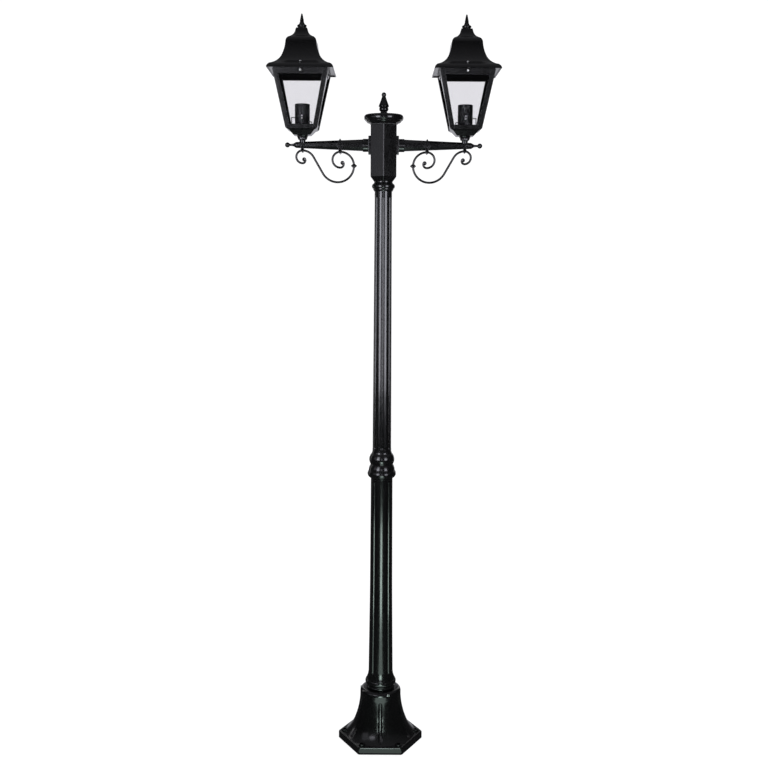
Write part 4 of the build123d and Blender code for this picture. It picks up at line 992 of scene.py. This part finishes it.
KEPT = {
    "zinc_steel": ("base_set_screws", "tie_washer", "tie_nut", "tie_rod", "arm_bolts", "nipples",
                   "nipple_nuts", "holder_screws"),
    "galvanised_steel": ("base_sleeve", "mid_sleeve", "neck_sleeve"),
    "gasket_rubber": ("hub_gasket",),
    "terminal_plastic": ("terminal_block",),
    "brass": ("earth_stud",),
}


def dress_kept():
    """Gives each kept node the finish of its slot."""
    for slot, nodes in KEPT.items():
        for node in nodes:
            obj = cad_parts[node]
            if not obj.material_slots:
                obj.data.materials.append(finish(slot))
            for holder in obj.material_slots:
                holder.link = "OBJECT"
                holder.material = finish(slot)


# Studio, in metres; the camera looks down by degrees and leans by radians

CAMERA_PLACE = (0.00547, -3.1894, 1.6259)
CAMERA_DOWN = 8.136
CAMERA_ROLL = 0.006
CAMERA_LENS = 48.38
FLOOR_CARD_SHARE = 0.2
FOOT_CARD_SHARE = 0.12


def make_floor():
    """Pale floor that curves up into a backdrop. Neither the coat nor the panes pick it up."""
    near, far, bend, top, half = -8.0, 4.0, 2.5, 9.0, 14.0
    curve = [(far + bend * sin(radians(a)), bend - bend * cos(radians(a))) for a in range(0, 91, 5)]
    bm = bmesh.new()
    verts = [bm.verts.new((-half, y, z)) for y, z in [(near, 0.0)] + curve + [(far + bend, top)]]
    lines = [bm.edges.new(pair) for pair in zip(verts, verts[1:])]
    drawn_out(bm, bmesh.ops.extrude_edge_only(bm, edges=lines), (2 * half, 0, 0))
    bm.faces.ensure_lookup_table()
    if bm.faces[0].normal.z < 0:
        bmesh.ops.reverse_faces(bm, faces=bm.faces)
    for face in bm.faces:
        face.smooth = True
    data = mesh_data(bm, "studio_floor")
    data.materials.append(floor_finish())
    floor = in_scene("studio_floor", data)
    floor.visible_glossy = False
    floor.visible_transmission = False


def area_light(name, place, aim, size, radiance, colour=(1, 1, 1), mirrored=True, spread=180):
    """Soft box at a place, turned towards a point, in metres; the camera never sees the box itself.

    A spread below 180 degrees darkens the box towards its sides and leaves it as bright in front.
    """
    data = bpy.data.lights.new(name, "AREA")
    data.shape = "RECTANGLE"
    data.size, data.size_y = size
    data.spread = radians(spread)
    half = radians(spread / 2)
    kept = 1.0 if spread == 180 else 1 - half / tan(half)
    data.energy = radiance * pi * size[0] * size[1] * kept
    data.color = colour
    obj = in_scene(name, data)
    obj.location = place
    obj.rotation_euler = (Vector(aim) - Vector(place)).to_track_quat("-Z", "Y").to_euler()
    obj.visible_camera = False
    obj.visible_glossy = mirrored


def round_the_post(azimuth, reach, z):
    """Place at an azimuth from the front, positive towards +X, in metres."""
    return (reach * sin(radians(azimuth)), -reach * cos(radians(azimuth)), z)


def make_lights():
    """Soft boxes set so that the coat mirrors them where the photograph has its bands of light."""
    studio = bpy.context.scene.post_light_studio
    cool, green = (0.9, 0.905, 1.0), (0.8, 1.0, 0.92)
    for name, azimuth, spread in (("left_box", -33, 96), ("right_box", 36, 72)):
        area_light(name, round_the_post(azimuth, 1.4, 1.6), (0, 0, 1.6), (0.55, 1.3), studio.side_boxes, cool,
                   spread=spread)
    area_light("front_box", (0, -3.3, 1.5), (0, 0, 1.5), (0.24, 1.0), studio.front_box, cool)
    area_light("low_box", (0, -1.1, 0.24), (0, 0, 0.24), (0.34, 0.4), studio.low_box, green)
    for name, y, size, share in (("floor_card", -0.84, (0.4, 1.27), FLOOR_CARD_SHARE),
                                 ("foot_card", -0.162, (0.16, 0.075), FOOT_CARD_SHARE)):
        area_light(name, (0, y, 0.002), (0, y, 1), size, studio.low_box * share, green)
    area_light("left_fill", round_the_post(-62, 2.6, 1.8), (0, 0, 1.8), (1.1, 1.3), studio.fill, cool)
    for name, azimuth, reach, z, size in (("rear_left_box", -120, 2.6, 1.4, (0.4, 2.2)),
                                          ("rear_right_box", 150, 2.6, 1.4, (0.5, 2.2)),
                                          ("back_box", 205, 2.4, 1.6, (0.6, 1.8))):
        area_light(name, round_the_post(azimuth, reach, z), (0, 0, 1.3), size, studio.rear_boxes)
    area_light("top_box", (0, -0.4, 5.0), (0, 0, 0), (4.0, 4.0), studio.top_box, mirrored=False)


def make_world():
    """White to the camera and through the panes, and dim to everything else.

    The coat mirrors a dim room with a paler ceiling, and a pale backdrop only straight behind the post.
    """
    studio = bpy.context.scene.post_light_studio
    world = bpy.data.worlds.new("studio")
    bpy.context.scene.world = world
    world.use_nodes = True
    tree = world.node_tree
    nodes, links = tree.nodes, tree.links

    def sums(operation, first, second):
        node = nodes.new("ShaderNodeMath")
        node.operation = operation
        node.use_clamp = True
        for socket, value in zip(node.inputs, (first, second)):
            if isinstance(value, float):
                socket.default_value = value
            else:
                links.new(value, socket)
        return node.outputs["Value"]

    seen = nodes["Background"]
    seen.inputs["Color"].default_value = (1, 1, 1, 1)
    seen.inputs["Strength"].default_value = studio.backdrop
    axes = nodes.new("ShaderNodeSeparateXYZ")
    links.new(nodes.new("ShaderNodeTexCoord").outputs["Generated"], axes.inputs["Vector"])
    room = ramp(tree, axes.outputs["Z"], studio.ambient, studio.ceiling, 0.35, 0.9)
    behind = ramp(tree, axes.outputs["Y"], 0.0, studio.behind, 0.88, 0.97)
    soft = nodes.new("ShaderNodeBackground")
    soft.inputs["Color"].default_value = (0.93, 0.93, 1, 1)
    links.new(sums("MAXIMUM", room, behind), soft.inputs["Strength"])
    path = nodes.new("ShaderNodeLightPath")
    bounced = sums("ADD", path.outputs["Diffuse Depth"], path.outputs["Glossy Depth"])
    straight = sums("MULTIPLY", path.outputs["Is Transmission Ray"], sums("SUBTRACT", 1.0, bounced))
    mix = nodes.new("ShaderNodeMixShader")
    links.new(sums("MAXIMUM", path.outputs["Is Camera Ray"], straight), mix.inputs["Fac"])
    links.new(soft.outputs["Background"], mix.inputs[1])
    links.new(seen.outputs["Background"], mix.inputs[2])
    links.new(mix.outputs["Shader"], nodes["World Output"].inputs["Surface"])
    bpy.context.scene.view_settings.view_transform = "Standard"


def make_camera():
    """Camera at the photograph's viewing angle."""
    data = bpy.data.cameras.new("photo_camera")
    data.sensor_width = 36.0
    data.lens = CAMERA_LENS
    data.clip_end = 60.0
    camera = in_scene("photo_camera", data)
    tilt = Matrix.Rotation(radians(90 - CAMERA_DOWN), 4, "X") @ Matrix.Rotation(CAMERA_ROLL, 4, "Z")
    camera.matrix_world = Matrix.Translation(CAMERA_PLACE) @ tilt
    bpy.context.scene.camera = camera


# Settings that a user would change

class PostLightSizes(bpy.types.PropertyGroup):
    """Sizes of the fine detail"""

    screw_head: bpy.props.FloatProperty(
        name="Screw Head", description="Diameter of the trim screws' domed heads",
        default=0.0072, min=0.004, max=0.012, precision=4, unit="LENGTH")
    holder_ribs: bpy.props.IntProperty(
        name="Holder Ribs", description="Upright ribs round a lampholder", default=26, min=8, max=48)
    shell_turns: bpy.props.IntProperty(
        name="Shell Turns", description="Turns rolled into a lampholder's screw shell",
        default=8, min=3, max=14)


class PostLightLooks(bpy.types.PropertyGroup):
    """Colours and gloss of the finishes"""

    coat_colour: bpy.props.FloatVectorProperty(
        name="Coat", description="Colour of the powder coat on the castings",
        subtype="COLOR", size=3, min=0.0, max=1.0, default=(0.0016, 0.0016, 0.0017))
    coat_roughness: bpy.props.FloatProperty(
        name="Coat Roughness", description="Roughness of the powder coat",
        subtype="FACTOR", min=0.0, max=1.0, default=0.2)
    orange_peel: bpy.props.FloatProperty(
        name="Orange Peel", description="Fineness of the coat's texture, in waves per metre",
        min=50.0, max=1500.0, default=420.0)
    glass_colour: bpy.props.FloatVectorProperty(
        name="Glass", description="Tint of the panes",
        subtype="COLOR", size=3, min=0.0, max=1.0, default=(0.93, 0.925, 0.95))


class PostLightStudio(bpy.types.PropertyGroup):
    """Strengths of the studio's lights"""

    side_boxes: bpy.props.FloatProperty(
        name="Side Boxes", description="Brightness of the two upright boxes at the front's left and right",
        default=8.5, min=0.0)
    low_box: bpy.props.FloatProperty(
        name="Low Box", default=9.0, min=0.0,
        description="Brightness of the low greenish box before the post, shared by two cards on the floor")
    front_box: bpy.props.FloatProperty(
        name="Front Box", description="Brightness of the upright box just behind the camera",
        default=5.0, min=0.0)
    fill: bpy.props.FloatProperty(
        name="Left Fill", description="Brightness of the wide dim box at the left",
        default=0.5, min=0.0)
    rear_boxes: bpy.props.FloatProperty(
        name="Rear Boxes", description="Brightness of the upright boxes behind the post",
        default=1.0, min=0.0)
    top_box: bpy.props.FloatProperty(
        name="Top Box", description="Brightness of the overhead box, which the coat doesn't mirror",
        default=0.5, min=0.0)
    backdrop: bpy.props.FloatProperty(
        name="Backdrop", description="Brightness of the white behind the stage", default=1.0, min=0.0)
    ambient: bpy.props.FloatProperty(
        name="Ambient", description="Brightness of the lower room that the coat mirrors",
        default=0.03, min=0.0, max=1.0)
    behind: bpy.props.FloatProperty(
        name="Behind", default=0.7, min=0.0, max=1.0,
        description="Brightness of the backdrop that the coat mirrors straight behind the post")
    ceiling: bpy.props.FloatProperty(
        name="Ceiling", description="Brightness of the ceiling that the coat mirrors",
        default=0.2, min=0.0, max=1.0)
    floor_glow: bpy.props.FloatProperty(
        name="Floor Glow", description="Light that the floor and the backdrop give off by themselves",
        default=0.91, min=0.0)


# Operators, one for each piece or group of like pieces

class POSTLIGHT_OT_stage(bpy.types.Operator):
    """Make the pale floor, the lights, the surroundings and the camera"""
    bl_idname = "postlight.stage"
    bl_label = "Stage"

    def execute(self, context):
        make_floor()
        make_lights()
        make_world()
        make_camera()
        return {"FINISHED"}


class POSTLIGHT_OT_base(bpy.types.Operator):
    """Make the hexagonal base with its grooved bell and anchor holes"""
    bl_idname = "postlight.base"
    bl_label = "Base"

    def execute(self, context):
        make_base()
        return {"FINISHED"}


class POSTLIGHT_OT_shafts(bpy.types.Operator):
    """Make the two fluted shafts of the post"""
    bl_idname = "postlight.shafts"
    bl_label = "Shafts"

    def execute(self, context):
        make_lower_shaft()
        make_upper_shaft()
        return {"FINISHED"}


class POSTLIGHT_OT_collars(bpy.types.Operator):
    """Make the turned collars and the neck ring"""
    bl_idname = "postlight.collars"
    bl_label = "Collars"

    def execute(self, context):
        make_collars()
        return {"FINISHED"}


class POSTLIGHT_OT_hub(bpy.types.Operator):
    """Make the six-sided hub, its cap and its finial"""
    bl_idname = "postlight.hub"
    bl_label = "Hub"

    def execute(self, context):
        make_hub()
        make_cap()
        make_finial()
        return {"FINISHED"}


class POSTLIGHT_OT_arms(bpy.types.Operator):
    """Make both arms with their flanges and end finials"""
    bl_idname = "postlight.arms"
    bl_label = "Arms"

    def execute(self, context):
        side_pieces(make_flange, "arm_flange", out=False)
        side_pieces(make_arm, "arm", out=False)
        side_pieces(make_arm_finial, "arm_finial", out=False)
        return {"FINISHED"}


class POSTLIGHT_OT_scrolls(bpy.types.Operator):
    """Make the bent scrolls with the bosses and clips that hold them"""
    bl_idname = "postlight.scrolls"
    bl_label = "Scrolls"

    def execute(self, context):
        side_pieces(make_scroll, "scroll", out=False)
        paired(make_arm_clip, "arm_clips")
        paired(make_stem_clip, "stem_clips")
        paired(make_boss, "scroll_bosses")
        return {"FINISHED"}


class POSTLIGHT_OT_lantern_frames(bpy.types.Operator):
    """Make each lantern's stem, pan, corner pillars and top rail"""
    bl_idname = "postlight.lantern_frames"
    bl_label = "Lantern Frames"

    def execute(self, context):
        side_pieces(make_stem, "stem")
        side_pieces(make_pan, "pan")
        side_pieces(lambda: around(make_pillar, 4), "corner_pillars")
        side_pieces(make_rail, "top_rail")
        return {"FINISHED"}


class POSTLIGHT_OT_panes(bpy.types.Operator):
    """Make the leaning panes of both lanterns"""
    bl_idname = "postlight.panes"
    bl_label = "Panes"

    def execute(self, context):
        side_pieces(lambda: around(make_pane, 4), "glass_panes", "clear_glass")
        return {"FINISHED"}


class POSTLIGHT_OT_roofs(bpy.types.Operator):
    """Make the lift-off roofs with their knobs and spires"""
    bl_idname = "postlight.roofs"
    bl_label = "Roofs"

    def execute(self, context):
        side_pieces(make_roof, "roof", body="roof")
        side_pieces(make_knob, "roof_knob", body="roof")
        side_pieces(make_spire, "spire", body="roof")
        return {"FINISHED"}


class POSTLIGHT_OT_trim_screws(bpy.types.Operator):
    """Make the bright domed screws on the rails and the roofs"""
    bl_idname = "postlight.trim_screws"
    bl_label = "Trim Screws"

    def execute(self, context):
        rails = [lantern @ place for _, lantern in side_places() for place in rail_screw_places()]
        recessed_screws("rail_screws", "post", 2, rails)
        for side, lantern in side_places():
            places = [lantern @ place for place in roof_screw_places()]
            recessed_screws(f"{side}_roof_screws", f"{side}_roof", 6, places)
        return {"FINISHED"}


class POSTLIGHT_OT_lampholders(bpy.types.Operator):
    """Make the ribbed lampholders, their screw shells and strap brackets"""
    bl_idname = "postlight.lampholders"
    bl_label = "Lampholders"

    def execute(self, context):
        side_pieces(make_holder, "lampholder", "holder_black", smooth=50)
        side_pieces(make_lamp_shell, "lamp_shell", "brass", extra=True)
        side_pieces(make_bracket, "holder_bracket", "galvanised_steel")
        return {"FINISHED"}


class POSTLIGHT_OT_kept_pieces(bpy.types.Operator):
    """Give the small and hidden pieces of the frame their finishes"""
    bl_idname = "postlight.kept_pieces"
    bl_label = "Kept Pieces"

    def execute(self, context):
        dress_kept()
        return {"FINISHED"}


STEPS = ("stage", "base", "shafts", "collars", "hub", "arms", "scrolls", "lantern_frames", "panes", "roofs",
         "trim_screws", "lampholders", "kept_pieces")


class VIEW3D_PT_post_light(bpy.types.Panel):
    """Settings of the post light and a button for each of its pieces"""
    bl_label = "Post Light"
    bl_space_type = "VIEW_3D"
    bl_region_type = "UI"
    bl_category = "Post Light"

    def draw(self, context):
        layout = self.layout
        for settings in (context.scene.post_light_sizes, context.scene.post_light_looks,
                         context.scene.post_light_studio):
            for prop in settings.__annotations__:
                layout.prop(settings, prop)
        for step in STEPS:
            layout.operator("postlight." + step)


CLASSES = (PostLightSizes, PostLightLooks, PostLightStudio, POSTLIGHT_OT_stage, POSTLIGHT_OT_base,
           POSTLIGHT_OT_shafts, POSTLIGHT_OT_collars, POSTLIGHT_OT_hub, POSTLIGHT_OT_arms,
           POSTLIGHT_OT_scrolls, POSTLIGHT_OT_lantern_frames, POSTLIGHT_OT_panes, POSTLIGHT_OT_roofs,
           POSTLIGHT_OT_trim_screws, POSTLIGHT_OT_lampholders, POSTLIGHT_OT_kept_pieces,
           VIEW3D_PT_post_light)


def register():
    for cls in CLASSES:
        bpy.utils.register_class(cls)
    bpy.types.Scene.post_light_sizes = bpy.props.PointerProperty(type=PostLightSizes)
    bpy.types.Scene.post_light_looks = bpy.props.PointerProperty(type=PostLightLooks)
    bpy.types.Scene.post_light_studio = bpy.props.PointerProperty(type=PostLightStudio)


def unregister():
    del bpy.types.Scene.post_light_studio
    del bpy.types.Scene.post_light_looks
    del bpy.types.Scene.post_light_sizes
    for cls in reversed(CLASSES):
        bpy.utils.unregister_class(cls)


def main():
    register()
    for step in STEPS:
        getattr(bpy.ops.postlight, step)()


if __name__ == "__main__":
    main()
